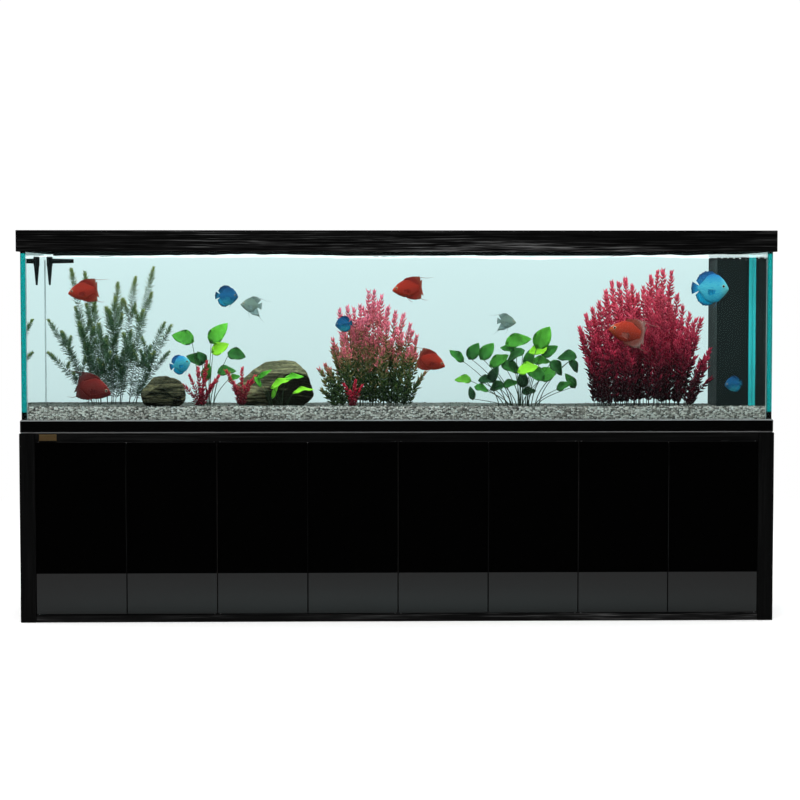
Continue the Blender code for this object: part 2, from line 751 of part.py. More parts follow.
def make_contents():
    """The gravel, two stones, and the five large plants as simple bodies."""
    side_x, side_y = INSIDE_X - GRAVEL_GAP, INSIDE_Y - GRAVEL_GAP
    gravel = box(
        "gravel_bed",
        (-side_x, -side_y, TANK_FLOOR + GAP),
        (side_x, side_y, GRAVEL_TOP),
        "gravel",
    )
    (left, front), _ = OVERFLOW_LOW, OVERFLOW_HIGH
    low = (left - GRAVEL_GAP, front - GRAVEL_GAP, TANK_FLOOR - 0.01)
    cut_boxes(gravel, "gravel_clear_of_overflow", [(low, (INSIDE_X, INSIDE_Y, GRAVEL_TOP + 0.01))])

    foot = GRAVEL_TOP + GAP
    stones = {
        "stone_small": ((-0.936, -0.262), (0.092, 0.075, 0.062)),
        "stone_large": ((-0.500, 0.075), (0.165, 0.115, 0.092)),
    }
    for index, (name, (centre, half)) in enumerate(stones.items()):
        mound(name, centre, half, foot, "stone", 0.92, 0.05, SEED_STEP * index)
    plants = {
        "fern_plant": ((-1.190, 0.175), (0.235, 0.105, 0.285), 0.25, "green_leaf"),
        "leafy_plant_left": ((-0.790, 0.060), (0.115, 0.090, 0.165), 0.30, "green_leaf"),
        "red_bush_middle": ((-0.108, 0.020), (0.215, 0.130, 0.255), 0.45, "red_leaf"),
        "leafy_plant_right": ((0.476, 0.000), (0.250, 0.120, 0.165), 0.40, "green_leaf"),
        "red_bush_right": ((1.027, 0.070), (0.270, 0.160, 0.285), 0.50, "red_leaf"),
    }
    for name, (centre, half, base, finish) in plants.items():
        mound(name, centre, half, foot, finish, base)


for old in list(bpy.data.objects):
    bpy.data.objects.remove(old)
PARTS = collection("aquarium_on_stand")
CUTTERS = collection("cutters")
make_cabinet()
make_doors()
make_tank()
make_hood()
make_overflow()
make_pipes()
make_filter()
make_contents()
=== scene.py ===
"""The looks of a planted three-metre aquarium on its cabinet.

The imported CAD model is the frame. Panels, panes and fittings keep their CAD shapes and get procedural
materials. The water, gravel, stones, plants, seams and fish are modelled here, in the same metres.
"""

import math
import random

import bmesh
import bpy
from mathutils import Matrix, Vector, noise


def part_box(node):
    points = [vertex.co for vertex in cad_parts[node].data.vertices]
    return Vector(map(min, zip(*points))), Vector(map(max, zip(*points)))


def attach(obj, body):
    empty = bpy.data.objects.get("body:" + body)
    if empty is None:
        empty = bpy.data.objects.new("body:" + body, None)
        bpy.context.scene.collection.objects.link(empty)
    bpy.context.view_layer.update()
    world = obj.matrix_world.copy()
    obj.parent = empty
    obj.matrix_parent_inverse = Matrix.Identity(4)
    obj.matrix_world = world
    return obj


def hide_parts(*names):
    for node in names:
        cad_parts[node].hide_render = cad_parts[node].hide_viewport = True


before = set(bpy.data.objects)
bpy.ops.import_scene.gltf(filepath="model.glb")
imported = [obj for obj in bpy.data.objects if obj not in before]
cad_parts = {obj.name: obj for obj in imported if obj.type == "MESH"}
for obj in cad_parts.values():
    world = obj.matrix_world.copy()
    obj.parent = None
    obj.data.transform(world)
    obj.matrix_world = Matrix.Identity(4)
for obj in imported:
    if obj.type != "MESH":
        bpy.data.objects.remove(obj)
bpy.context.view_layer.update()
BODY = "stand_and_tank"
SCENE = bpy.context.scene

# Places that come from the frame
INNER_LOW = Vector((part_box("glass_left")[1].x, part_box("glass_front")[1].y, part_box("glass_bottom")[1].z))
INNER_HIGH = Vector((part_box("glass_right")[0].x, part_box("glass_back")[0].y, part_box("glass_front")[1].z))
HOOD_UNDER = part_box("hood_frame")[0].z
GRAVEL_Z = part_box("gravel_bed")[1].z
OVERFLOW_LOW, OVERFLOW_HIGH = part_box("overflow_box")
FRONT_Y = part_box("door_1")[0].y

WATER_GAP = 0.0004  # between the water and the panes
WATER_LEVEL = HOOD_UNDER - 0.0150
WATER_FOOT = 0.030  # the water's underside, in the gravel, from the tank's floor
GRAVEL_GAP = 0.0015  # between the gravel and the panes
PEBBLES_PER_METRE = 125.0
FULL_TURN = 2 * math.pi
ANY_TURN = 6.3  # the range of random turns, in radians


# --------------------------------------------------------------------------- materials


class Nodes:
    """Short ways to add nodes to a tree. A value is either a socket to link or a number or colour to set."""

    def __init__(self, tree):
        self.nodes = tree.nodes
        self.links = tree.links

    def add(self, kind, **settings):
        node = self.nodes.new(f"ShaderNode{kind}")
        for key, value in settings.items():
            setattr(node, key, value)
        return node

    def put(self, socket, value):
        if isinstance(value, bpy.types.NodeSocket):
            self.links.new(value, socket)
        elif socket.type == "RGBA":
            socket.default_value = shade(value)
        else:
            socket.default_value = value

    def split(self, vector, axis):
        node = self.add("SeparateXYZ")
        self.put(node.inputs[0], vector)
        return node.outputs[axis]

    def span(self, value, low, high, to_low=0.0, to_high=1.0):
        """Maps low..high to to_low..to_high, clamped."""
        node = self.add("MapRange")
        for socket, number in zip(node.inputs, (value, low, high, to_low, to_high)):
            self.put(socket, number)
        return node.outputs[0]

    def math(self, operation, first, second=0.0, clamp=False):
        node = self.add("Math", operation=operation, use_clamp=clamp)
        self.put(node.inputs[0], first)
        self.put(node.inputs[1], second)
        return node.outputs[0]

    def vector_math(self, operation, first, second=(0.0, 0.0, 0.0)):
        """The number that a vector operation gives, such as LENGTH or DOT_PRODUCT."""
        node = self.add("VectorMath", operation=operation)
        self.put(node.inputs[0], first)
        self.put(node.inputs[1], second)
        return node.outputs["Value"]

    def blend(self, factor, first, second):
        """A number between two others."""
        node = self.add("Mix")
        for socket, value in ((0, factor), (2, first), (3, second)):
            self.put(node.inputs[socket], value)
        return node.outputs[0]

    def mix(self, factor, first, second, blend="MIX"):
        """A colour between two others."""
        node = self.add("Mix", data_type="RGBA", blend_type=blend)
        for socket, value in (("Factor", factor), (6, first), (7, second)):
            self.put(node.inputs[socket], value)
        return node.outputs[2]

    def ramp(self, value, *stops):
        """A colour ramp. Each stop is (position, colour)."""
        node = self.add("ValToRGB")
        self.put(node.inputs[0], value)
        elements = node.color_ramp.elements
        while len(elements) < len(stops):
            elements.new(0.5)
        for element, (position, colour) in zip(elements, stops):
            element.position = position
            element.color = shade(colour)
        return node.outputs[0]


class Look(Nodes):
    """A Principled material that is built up one texture at a time, in metres of object space."""

    def __init__(self, name, **values):
        self.material = bpy.data.materials.new(name)
        self.material.use_nodes = True
        super().__init__(self.material.node_tree)
        self.shader = self.nodes["Principled BSDF"]
        self.output = self.nodes["Material Output"]
        self.place = self.add("TexCoord").outputs["Object"]
        for key, value in values.items():
            self.put(self.shader.inputs[key.replace("_", " ")], value)

    def to(self, name, value):
        self.put(self.shader.inputs[name], value)
        return self

    def scaled(self, per_metre, tilt=0.0):
        """Object coordinates with that many repeats to the metre, in all or in x, y and z, tilted about y."""
        if isinstance(per_metre, float):
            per_metre = (per_metre, per_metre, per_metre)
        mapping = self.add("Mapping")
        mapping.inputs["Scale"].default_value = per_metre
        mapping.inputs["Rotation"].default_value = (0, tilt, 0)
        self.links.new(self.place, mapping.inputs["Vector"])
        return mapping.outputs["Vector"]

    def noise(self, per_metre, detail=3.0, roughness=0.55, distortion=0.0, tilt=0.0):
        node = self.add("TexNoise")
        settings = {"Scale": 1.0, "Detail": detail, "Roughness": roughness, "Distortion": distortion}
        for key, value in settings.items():
            node.inputs[key].default_value = value
        self.links.new(self.scaled(per_metre, tilt), node.inputs["Vector"])
        return node.outputs["Fac"]

    def cells(self, per_metre, output="Distance"):
        node = self.add("TexVoronoi")
        node.inputs["Scale"].default_value = 1.0
        self.links.new(self.scaled(per_metre), node.inputs["Vector"])
        return node.outputs[output]

    def geometry(self, name):
        return self.add("NewGeometry").outputs[name]

    def attribute(self, name):
        return self.add("Attribute", attribute_name=name).outputs["Fac"]

    def bump(self, height, distance, strength=0.5):
        node = self.add("Bump")
        node.inputs["Distance"].default_value = distance
        node.inputs["Strength"].default_value = strength
        self.links.new(height, node.inputs["Height"])
        return self.to("Normal", node.outputs[0])

    def surface(self, factor, first, second):
        """Shows a mixture of two shaders."""
        mixer = self.add("MixShader")
        for socket, value in zip(mixer.inputs, (factor, first, second)):
            self.links.new(value, socket)
        self.links.new(mixer.outputs[0], self.output.inputs["Surface"])

    def clear_to_shadows(self):
        """Lets lamps shine through, so that what is inside is lit."""
        shadow = self.add("LightPath").outputs["Is Shadow Ray"]
        self.surface(shadow, self.shader.outputs[0], self.add("BsdfTransparent").outputs[0])

    def absorb(self, colour, density):
        """Colours what is seen through the solid by how thick it is."""
        volume = self.add("VolumeAbsorption")
        volume.inputs["Color"].default_value = shade(colour)
        volume.inputs["Density"].default_value = density
        self.links.new(volume.outputs[0], self.output.inputs["Volume"])


def shade(colour):
    """A grey level or a linear (r, g, b) as an RGBA tuple."""
    if isinstance(colour, (int, float)):
        colour = (colour, colour, colour)
    return (*colour, 1.0)


def srgb(*display):
    """A colour given in display values from 0 to 255, as linear values."""
    return tuple(((v / 255 + 0.055) / 1.055) ** 2.4 if v > 10 else v / 255 / 12.92 for v in display)


def times(factor, colour):
    return tuple(factor * channel for channel in colour)


def black_wood(name, along, grain_and_light_gain=1.0, pale_edge=None):
    """Black-stained open-grain veneer. along is the axis that the grain runs on.

    The height given last is that of a lower edge: the streaks are paler just above it and darker higher up.
    """
    look = Look(name, Specular_IOR_Level=0.05)
    broad = [190.0, 190.0, 190.0]
    fine = [640.0, 640.0, 640.0]
    slow = [7.0, 7.0, 7.0]
    broad[along], fine[along], slow[along] = 3.0, 9.0, 0.8
    streaks = look.noise(broad, 3.0, 0.65, 0.5)
    pores = look.noise(fine, 2.0, 0.6)
    patches = look.noise(slow, 3.0)
    worn = look.span(patches, 0.38, 0.60, 0.30, 1.0)
    # painted light and grain: the gain sets how pale the streaks get; the uprights and the top rail get less,
    # as painted shade
    lit = look.math("MULTIPLY", look.span(streaks, 0.44, 0.66, 0.0, grain_and_light_gain), worn)
    lit = look.math("MULTIPLY", lit, look.span(pores, 0.36, 0.60, 0.15, 1.0))
    if pale_edge is not None:
        height = look.split(look.place, 2)
        lit = look.math("MULTIPLY", lit, look.span(height, pale_edge + 0.055, pale_edge + 0.020, 0.75, 1.7))
    look.to("Base Color", look.ramp(lit, (0.0, 0.0012), (0.25, 0.006), (0.55, 0.028), (1.0, 0.100)))
    look.to("Roughness", look.span(streaks, 0.3, 0.7, 0.45, 0.65))
    grain = look.math("ADD", streaks, look.math("MULTIPLY", pores, 0.4))
    return look.bump(grain, 0.0008, 0.35).material


def raw_board(name):
    """Dark laminated board with short fibres."""
    look = Look(name)
    fibres = look.noise((90.0, 90.0, 400.0), 4.0)
    look.to("Base Color", look.ramp(fibres, (0.3, (0.040, 0.036, 0.033)), (0.7, (0.075, 0.069, 0.063))))
    look.to("Roughness", look.span(fibres, 0.3, 0.7, 0.55, 0.75))
    return look.bump(fibres, 0.0004, 0.3).material


def door_gloss(name):
    """Polished black acrylic, with faint wiping marks and fine specks of dust."""
    look = Look(name, IOR=1.42)
    marks = look.noise((3.0, 3.0, 7.0), 5.0, 0.6, 0.8)
    dust = look.noise(900.0, 1.0)
    look.to("Base Color", look.mix(look.span(dust, 0.68, 0.80), 0.0004, 0.004))
    look.to("Roughness", look.span(marks, 0.35, 0.70, 0.004, 0.022))
    return look.material


def trim_gloss(name):
    """Black gloss strip whose two chamfers carry a painted highlight, a pale streaky colour."""
    look = Look(name)
    facing = look.geometry("True Normal")
    slope = look.math("ABSOLUTE", look.split(facing, 2))
    edge = look.math("MULTIPLY", look.span(slope, 0.35, 0.55), look.span(slope, 0.95, 0.85))
    glint_streaks = look.noise((14.0, 900.0, 900.0), 3.0)
    bright = look.ramp(glint_streaks, (0.3, 0.10), (0.7, 0.18))
    # painted highlight: the chamfers get a pale colour for the light that they catch
    look.to("Base Color", look.mix(edge, 0.0010, bright))
    look.to("Roughness", look.span(edge, 0.0, 1.0, 0.02, 0.45))
    return look.material


def glass(name, tint, density, ior=1.5, glint=0.12):
    """Clear glass that is green-blue through its thickness. glint is how much it reflects square on."""
    look = Look(name, Transmission_Weight=1.0, Roughness=0.0, IOR=ior, Base_Color=1.0, Specular_Tint=glint)
    look.clear_to_shadows()
    look.absorb(tint, density)
    return look.material


def water_surface(name):
    """The rippled top of the water: clear from above; from below it glows, a painted reflection of the lamps.
    """
    look = Look(name, Transmission_Weight=1.0, IOR=1.33, Emission_Strength=0.75)
    ripples_and_glow = look.noise((26.0, 60.0, 60.0), 4.0)
    look.to("Base Color", look.ramp(ripples_and_glow, (0.25, (0.90, 0.96, 0.97)), (0.60, (1.0, 1.0, 1.0))))
    # painted reflection: the underside glows in place of the lamps' mirror image
    glow = look.ramp(ripples_and_glow, (0.25, (0.80, 0.93, 0.95)), (0.55, (1.0, 1.0, 1.0)))
    below = look.geometry("Backfacing")
    look.to("Emission Color", look.mix(below, 0.0, glow))
    look.to("Roughness", look.span(ripples_and_glow, 0.3, 0.7, 0.02, 0.20))
    look.clear_to_shadows()
    return look.material


def moulded(name, colour, roughness=0.4, mottle=0.15, sheen=0.3):
    """Moulded plastic with a fine texture."""
    look = Look(name, Specular_IOR_Level=sheen)
    skin = look.noise(700.0, 2.0)
    drift = look.noise(9.0, 3.0)
    look.to("Base Color", look.mix(drift, times(1 - mottle, colour), colour))
    look.to("Roughness", look.span(drift, 0.3, 0.7, roughness - 0.06, roughness + 0.08))
    return look.bump(skin, 0.0002, 0.2).material


def brushed_metal(name, colour, roughness, along=0):
    """Metal with brush lines along one axis."""
    look = Look(name, Metallic=1.0)
    stretch = [1800.0, 1800.0, 1800.0]
    stretch[along] = 30.0
    lines = look.noise(stretch, 2.0)
    dull = look.noise(40.0, 3.0)
    look.to("Base Color", look.mix(dull, times(0.78, colour), colour))
    look.to("Roughness", look.span(lines, 0.3, 0.7, roughness - 0.08, roughness + 0.12))
    return look.bump(lines, 0.0001, 0.3).material


def lamp_cover(name):
    """A white diffuser that glows."""
    look = Look(name, Roughness=0.45, Emission_Strength=1.6)
    ribs = look.noise((600.0, 3.0, 3.0), 1.0)
    look.to("Base Color", look.ramp(ribs, (0.3, 0.80), (0.7, 0.90)))
    look.to("Emission Color", look.ramp(ribs, (0.3, (0.90, 0.95, 1.0)), (0.7, (1.0, 1.0, 1.0))))
    return look.material


def speckled(name, dark, light, per_metre, detail=3.0, **values):
    """A plain surface that drifts between two colours."""
    look = Look(name, **values)
    look.to("Base Color", look.ramp(look.noise(per_metre, detail), (0.3, dark), (0.7, light)))
    return look.material


def foam_block(name):
    look = Look(name, Roughness=0.95)
    pores = look.cells(420.0)
    # painted shade: the pores are darker than the rest of the sponge
    look.to("Base Color", look.ramp(pores, (0.1, (0.006, 0.012, 0.028)), (0.6, (0.040, 0.075, 0.15))))
    return look.bump(pores, 0.0012, 0.9).material


def gravel_look(name):
    """Grey-beige pebbles about 8 mm across, with painted shade between the pebbles. They are duller away from
    the front pane.
    """
    look = Look(name, Roughness=0.75, Specular_IOR_Level=0.08)
    pebbles = (PEBBLES_PER_METRE, PEBBLES_PER_METRE, 1.4 * PEBBLES_PER_METRE)
    tones = look.cells(pebbles, "Color")
    shaded_gaps = look.cells(pebbles)
    pebble = look.ramp(
        look.split(tones, 0),
        (0.0, srgb(84, 75, 71)),
        (0.25, srgb(150, 136, 129)),
        (0.55, srgb(206, 192, 184)),
        (0.85, srgb(242, 230, 222)),
        (1.0, srgb(252, 246, 242)),
    )
    dirt = look.noise(6.0, 3.0)
    pebble = look.mix(look.span(dirt, 0.40, 0.75, 0.0, 0.30), pebble, srgb(118, 114, 104))
    depth = look.split(look.place, 1)
    behind = look.span(depth, INNER_LOW.y + 0.006, INNER_LOW.y + 0.022, 0.0, 0.84)
    pebble = look.mix(behind, pebble, srgb(42, 55, 49))
    # painted shade: darkened where the pebbles meet
    look.to("Base Color", look.mix(look.span(shaded_gaps, 0.58, 0.84), pebble, srgb(62, 55, 51)))
    height = look.math("SUBTRACT", 1.0, shaded_gaps)
    return look.bump(height, 0.0022, 0.8).material


SHADED_FACE = (0.50, -0.75, -0.40)  # the way the face looks that is darkened as painted shade


def stone_look(name, dark, light, tilt, top_light):
    """Layered stone: wavy strata, pits with painted shade, painted light on what faces up, and one face
    darkened by painted shade.
    """
    look = Look(name, Specular_IOR_Level=0.06, Roughness=0.85)
    strata = look.noise((8.0, 8.0, 85.0), 5.0, 0.5, 0.7, tilt)
    pits = look.noise((70.0, 70.0, 150.0), 5.0, 0.65)
    middle = tuple((2 * a + b) / 3 for a, b in zip(dark, light))
    colour = look.ramp(strata, (0.40, times(0.5, dark)), (0.46, dark), (0.53, middle), (0.62, light))
    facing = look.geometry("Normal")
    # painted light: what faces up is paler
    top = look.math("MULTIPLY", look.span(look.split(facing, 2), 0.2, 0.9), top_light)
    colour = look.mix(top, colour, srgb(168, 166, 128))
    # painted shade: the pits are darker
    colour = look.mix(look.span(pits, 0.42, 0.60, 0.55, 0.0), colour, times(0.35, dark))
    # painted shade: the flat face that looks down and to the front right is darkened
    shaded_side = look.vector_math("DOT_PRODUCT", facing, SHADED_FACE)
    colour = look.mix(look.span(shaded_side, 0.86, 0.94), colour, times(0.30, dark))
    look.to("Base Color", colour)
    rough = look.math("ADD", strata, look.math("MULTIPLY", pits, 0.5))
    return look.bump(rough, 0.006, 1.0).material


def leaf_look(name, stops, spread=0.35, sheen=0.15, veins=220.0, flush=None):
    """Leaves coloured by height above the gravel, each a little different from the next.

    stops are (height in metres, display colour). The mesh carries a tone from 0 to 1 for each leaf, and
    the highest tones turn to flush.
    """
    look = Look(name, Specular_IOR_Level=sheen)
    height = look.split(look.place, 2)
    top = stops[-1][0]
    tone = look.attribute("tone")
    reach = look.math("ADD", look.math("DIVIDE", height, top), look.span(tone, 0.0, 1.0, -spread, spread))
    colour = look.ramp(reach, *((h / top, srgb(*c)) for h, c in stops))
    streak = look.noise((veins, veins, veins * 0.4), 3.0)
    colour = look.mix(look.span(streak, 0.35, 0.70, 0.0, 0.45), colour, 0.0, "MULTIPLY")
    if flush:
        colour = look.mix(look.span(tone, 0.70, 0.95), colour, srgb(*flush))
    look.to("Base Color", colour)
    look.to("Roughness", look.span(streak, 0.3, 0.7, 0.38, 0.6))
    return look.bump(streak, 0.0006, 0.4).material


def stalk_look(name, low, high, tall):
    """Stalks that go from one display colour at the gravel to another at their top."""
    return leaf_look(name, ((0.0, low), (tall, high)), 0.1)


# --------------------------------------------------------------------------- meshes


LEAF_THICKNESS = 0.0009


def grid_faces(rows, columns):
    """The faces of a grid whose points are listed row by row."""
    corners = (0, 1, columns + 2, columns + 1)
    starts = [row * (columns + 1) + column for row in range(rows) for column in range(columns)]
    return [[start + corner for corner in corners] for start in starts]


def finished(shape, mesh, smooth=True):
    """The mesh, filled from a bmesh, which is then freed."""
    shape.to_mesh(mesh)
    shape.free()
    if smooth:
        mesh.shade_smooth()
    return mesh


class Growth:
    """Collects closed stems, blades, leaves and fins, then makes one mesh of them."""

    def __init__(self):
        self.points = []
        self.faces = []
        self.tones = []
        self.kinds = []

    def add(self, points, faces, tone, kind=0):
        start = len(self.points)
        self.points.extend(points)
        self.tones.extend([tone] * len(points))
        for face in faces:
            self.faces.append([start + i for i in face])
            self.kinds.append(kind)

    def stem(self, route, radius, end_radius, tone, sides=5, kind=0):
        """A tapered round stalk along a route, closed at both ends."""
        rings = []
        for index, point in enumerate(route):
            ahead = route[min(index + 1, len(route) - 1)] - route[max(index - 1, 0)]
            side, over = axes_across(ahead)
            share = index / (len(route) - 1)
            size = radius + (end_radius - radius) * share
            for step in range(sides):
                turn = FULL_TURN * step / sides
                rings.append(point + side * (size * math.cos(turn)) + over * (size * math.sin(turn)))
        faces = [list(range(sides))[::-1]]
        for ring in range(len(route) - 1):
            for step in range(sides):
                a, b = ring * sides + step, ring * sides + (step + 1) % sides
                faces.append([a, b, b + sides, a + sides])
        last = (len(route) - 1) * sides
        faces.append([last + step for step in range(sides)])
        self.add(rings, faces, tone, kind)

    def blade(self, root, along, width, tone):
        """A small pointed leaf with a raised midrib."""
        side, over = axes_across(along)
        middle = root + along * 0.45
        thick = over * (width * 0.16)
        points = [root, middle + side * width / 2, root + along, middle - side * width / 2]
        points += [middle + thick, middle - thick * 0.4]
        faces = [(0, 1, 4), (1, 2, 4), (2, 3, 4), (3, 0, 4), (1, 0, 5), (2, 1, 5), (3, 2, 5), (0, 3, 5)]
        self.add(points, faces, tone)

    def broad_leaf(self, root, along, face, width, tone, curl):
        """A wide leaf with a folded midrib and a wavy edge. face is the way its upper side looks."""
        rows, columns = 9, 6
        notch = 0.12  # how far its edges reach back beyond the stalk, as a share of its length
        length = along.length
        forward = along.normalized()
        side = forward.cross(face).normalized()
        normal = side.cross(forward)
        top, bottom = [], []
        for row in range(rows + 1):
            t = row / rows
            outline = math.sin(math.pi * t**0.72) ** 0.8 if 0 < t < 1 else 0.0
            half = width / 2 * outline
            bend = -curl * length * t * t
            back = -notch * length * (1 - t) ** 3
            for column in range(columns + 1):
                u = column / columns * 2 - 1
                fold = abs(u) * half * 0.42
                wave = 0.09 * length * math.sin(10 * t + 3 * u) * u * u * outline
                lift = fold + wave + bend
                spot = root + forward * (length * t + back * abs(u)) + side * (half * u) + normal * lift
                rim = row in (0, rows) or column in (0, columns)
                top.append(spot)
                bottom.append(spot if rim else spot - normal * LEAF_THICKNESS)
        faces = []
        for quad in grid_faces(rows, columns):
            faces.append(quad)
            faces.append([len(top) + corner for corner in quad[::-1]])
        self.add(top + bottom, faces, tone)

    def mesh(self, name):
        """One mesh of everything, with shared points merged and the tone of each point stored."""
        made = bpy.data.meshes.new(name)
        made.from_pydata([tuple(p) for p in self.points], [], self.faces)
        store = made.attributes.new("tone", "FLOAT", "POINT")
        store.data.foreach_set("value", self.tones)
        made.polygons.foreach_set("material_index", self.kinds)
        shape = bmesh.new()
        shape.from_mesh(made)
        bmesh.ops.remove_doubles(shape, verts=shape.verts, dist=1e-6)
        bmesh.ops.dissolve_degenerate(shape, edges=shape.edges, dist=1e-7)
        return finished(shape, made)


def axes_across(direction):
    """Two unit vectors square to a direction and to each other."""
    direction = direction.normalized()
    guide = Vector((0, 1, 0)) if abs(direction.y) < 0.9 else Vector((1, 0, 0))
    side = direction.cross(guide).normalized()
    return side, side.cross(direction).normalized()


def piece(name, mesh, materials, at=Matrix(), stands_for=(), body=BODY):
    """A piece of the object that rides on a body of the frame."""
    obj = bpy.data.objects.new(name, mesh)
    obj.matrix_world = at
    SCENE.collection.objects.link(obj)
    for material in materials:
        mesh.materials.append(material)
    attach(obj, body)
    if stands_for:
        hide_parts(*stands_for)
    return obj


def between(stops, x):
    """The value at x of a line through (x, value) stops."""
    for (x0, v0), (x1, v1) in zip(stops, stops[1:]):
        if x <= x1:
            share = min(max((x - x0) / (x1 - x0), 0.0), 1.0)
            return v0 + (v1 - v0) * share
    return stops[-1][1]


def gravel_height(x, y):
    """The gravel's surface: higher against the front pane, and gently uneven."""
    depth = (y - INNER_LOW.y) / (INNER_HIGH.y - INNER_LOW.y)
    side = (x - INNER_LOW.x) / (INNER_HIGH.x - INNER_LOW.x)
    front = GRAVEL_Z + 0.0085 - 0.0025 * side
    back = GRAVEL_Z - 0.002 - 0.010 * side
    rolls = 0.0035 * noise.noise(Vector((2.3 * x, 3.1 * y, 0.0)))
    dimples = 0.0018 * noise.noise(Vector((9 * x, 9 * y, 5)))
    return front + (back - front) * min(1.0, depth * 1.6) ** 0.8 + (rolls + dimples)


def on_gravel(x, y):
    """A place on the gravel's surface."""
    return Matrix.Translation((x, y, gravel_height(x, y)))


def middle_of(node):
    low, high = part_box(node)
    return (low + high) / 2


def grain_bump(x, y, z):
    """How far pebbles stand out at a point, in metres."""
    distances = noise.voronoi(Vector((x, y, z)) * PEBBLES_PER_METRE)[0]
    return 0.0030 * (0.5 - min(distances[0], 0.8))


def make_gravel():
    """One closed bed. Its top and its front, against the pane, are pebbled."""
    floor_z = INNER_LOW.z + 0.001
    left, right = INNER_LOW.x + GRAVEL_GAP, INNER_HIGH.x - GRAVEL_GAP
    front, back = INNER_LOW.y + GRAVEL_GAP, INNER_HIGH.y - GRAVEL_GAP
    columns, front_rows, top_rows = 560, 12, 56
    profile = [(0.0, row / front_rows) for row in range(front_rows + 1)]
    profile += [((row / top_rows) ** 1.35, 1.0) for row in range(1, top_rows + 1)]
    points = []
    for depth, rise in profile:
        y = front + (back - front) * depth
        for column in range(columns + 1):
            x = left + (right - left) * column / columns
            top = gravel_height(x, y)
            z = floor_z + (top - floor_z) * rise
            out = grain_bump(x, y, z)
            if depth == 0.0:
                points.append((x, y + 0.0018 - out, z))
            else:
                points.append((x, y, z + out * 1.2))
    rows = len(profile)
    faces = grid_faces(rows - 1, columns)
    base = len(points)
    for column in range(columns + 1):
        x = left + (right - left) * column / columns
        points.append((x, back, floor_z))
    across = columns + 1
    last = (rows - 1) * across
    for column in range(columns):
        faces.append((last + column, last + column + 1, base + column + 1, base + column))
        faces.append((base + column, base + column + 1, column + 1, column))
    for column, flip in ((0, 1), (columns, -1)):
        rim = [row * across + column for row in range(rows)] + [base + column]
        faces.append(rim[::flip])
    mesh = bpy.data.meshes.new("gravel")
    mesh.from_pydata(points, [], faces)
    shape = bmesh.new()
    shape.from_mesh(mesh)
    bmesh.ops.recalc_face_normals(shape, faces=shape.faces)
    looks = [gravel_look("gravel_grains")]
    piece("gravel", finished(shape, mesh), looks, stands_for=["gravel_bed"])


def in_overflow(x, y, room=0.012):
    """True for a place inside the overflow box, or within room of it."""
    return x > OVERFLOW_LOW.x - room and y > OVERFLOW_LOW.y - room


LOOSE_PEBBLES = 900


def make_loose_pebbles():
    """Single stones that lie on the bed, most of them near the front pane."""
    draw = random.Random(7)
    shape = bmesh.new()
    for _ in range(LOOSE_PEBBLES):
        x = draw.uniform(INNER_LOW.x + 0.02, INNER_HIGH.x - 0.02)
        y = INNER_LOW.y + 0.008 + (INNER_HIGH.y - INNER_LOW.y - 0.02) * draw.random() ** 2.2
        size = draw.uniform(0.0022, 0.0046)
        if in_overflow(x, y):
            continue
        turn = Matrix.Rotation(draw.uniform(0, ANY_TURN), 4, "Z")
        spin = turn @ Matrix.Rotation(draw.uniform(-0.5, 0.5), 4, "X")
        scale = Matrix.Diagonal((size * draw.uniform(0.9, 1.5), size, size * draw.uniform(0.55, 0.9), 1))
        spot = Matrix.Translation((x, y, gravel_height(x, y) + size * 0.45))
        bmesh.ops.create_icosphere(shape, subdivisions=1, radius=1.0, matrix=spot @ spin @ scale)
    mesh = finished(shape, bpy.data.meshes.new("loose_pebbles"))
    piece("loose_pebbles", mesh, [gravel_look("pebble_grains")])


def make_stone(name, node, outline, cuts, looks, seed, square):
    """A boulder that fills the frame's box. outline gives its height along x, as shares.

    cuts are (direction, distance) planes, in shares of the half sizes, that leave flat faces. square is 2
    for a round boulder and more for a boxy one.
    """
    low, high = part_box(node)
    centre = middle_of(node)
    half = (high - low) / 2
    tall = high.z - low.z
    ground = 0.40  # the share of the height at which the ball's middle stands
    shape = bmesh.new()
    verts = bmesh.ops.create_icosphere(shape, subdivisions=6, radius=1.0)["verts"]
    for vert in verts:
        n = vert.co.normalized()
        block = sum(abs(c) ** square for c in n) ** (-1 / square)
        ridge = noise.noise(Vector((1.8 * n.x + seed, 1.8 * n.y, 1.6 * n.z)))
        crumbs = noise.noise(n * 5.0 + Vector((0, seed, 0)))
        p = n * block * (1 + 0.10 * ridge + 0.035 * crumbs)
        for direction, distance in cuts:
            facing = Vector(direction).normalized()
            over = p.dot(facing) - distance
            if over > 0:
                p -= facing * over * 0.88
        layers = noise.noise(Vector((2.2 * p.x, 2.2 * p.y, 15 * p.z + 2.5 * p.x)) + Vector((seed, 0, 0)))
        grit = noise.noise(p * 17.0)
        p *= 1 + 0.020 * layers + 0.008 * grit
        rise = between(outline, max(-1.0, min(1.0, p.x)))
        z = ground + 0.60 * p.z * rise if p.z > 0 else ground + 0.56 * p.z
        vert.co = Vector((p.x * half.x * 0.97, p.y * half.y * 0.97, z * tall))
    mesh = finished(shape, bpy.data.meshes.new(name))
    piece(name, mesh, looks, at=on_gravel(centre.x, centre.y), stands_for=[node])


ROOT_Z = -0.004  # where stems start, from the gravel's surface
BRANCHING_HEIGHT = 0.22  # shorter stems have no side shoots
BUSH_CROWN = 0.060  # the length of stem over which the leaves close up
FERN_CROWN = 0.110
NEEDLE_WIDTH = 0.0023
NEEDLE_ROUND = 6.283  # the turn over which a whorl of needles is spread, in radians
QUARTER_TURN = 1.571


def stem_route(base, tip, lean, steps):
    """A stalk that leaves the base steeply and leans out to its tip."""
    reach = tip - base
    route = []
    for step in range(steps + 1):
        t = step / steps
        aside = t ** lean
        route.append(base + Vector((reach.x * aside, reach.y * aside, reach.z * t)))
    return route


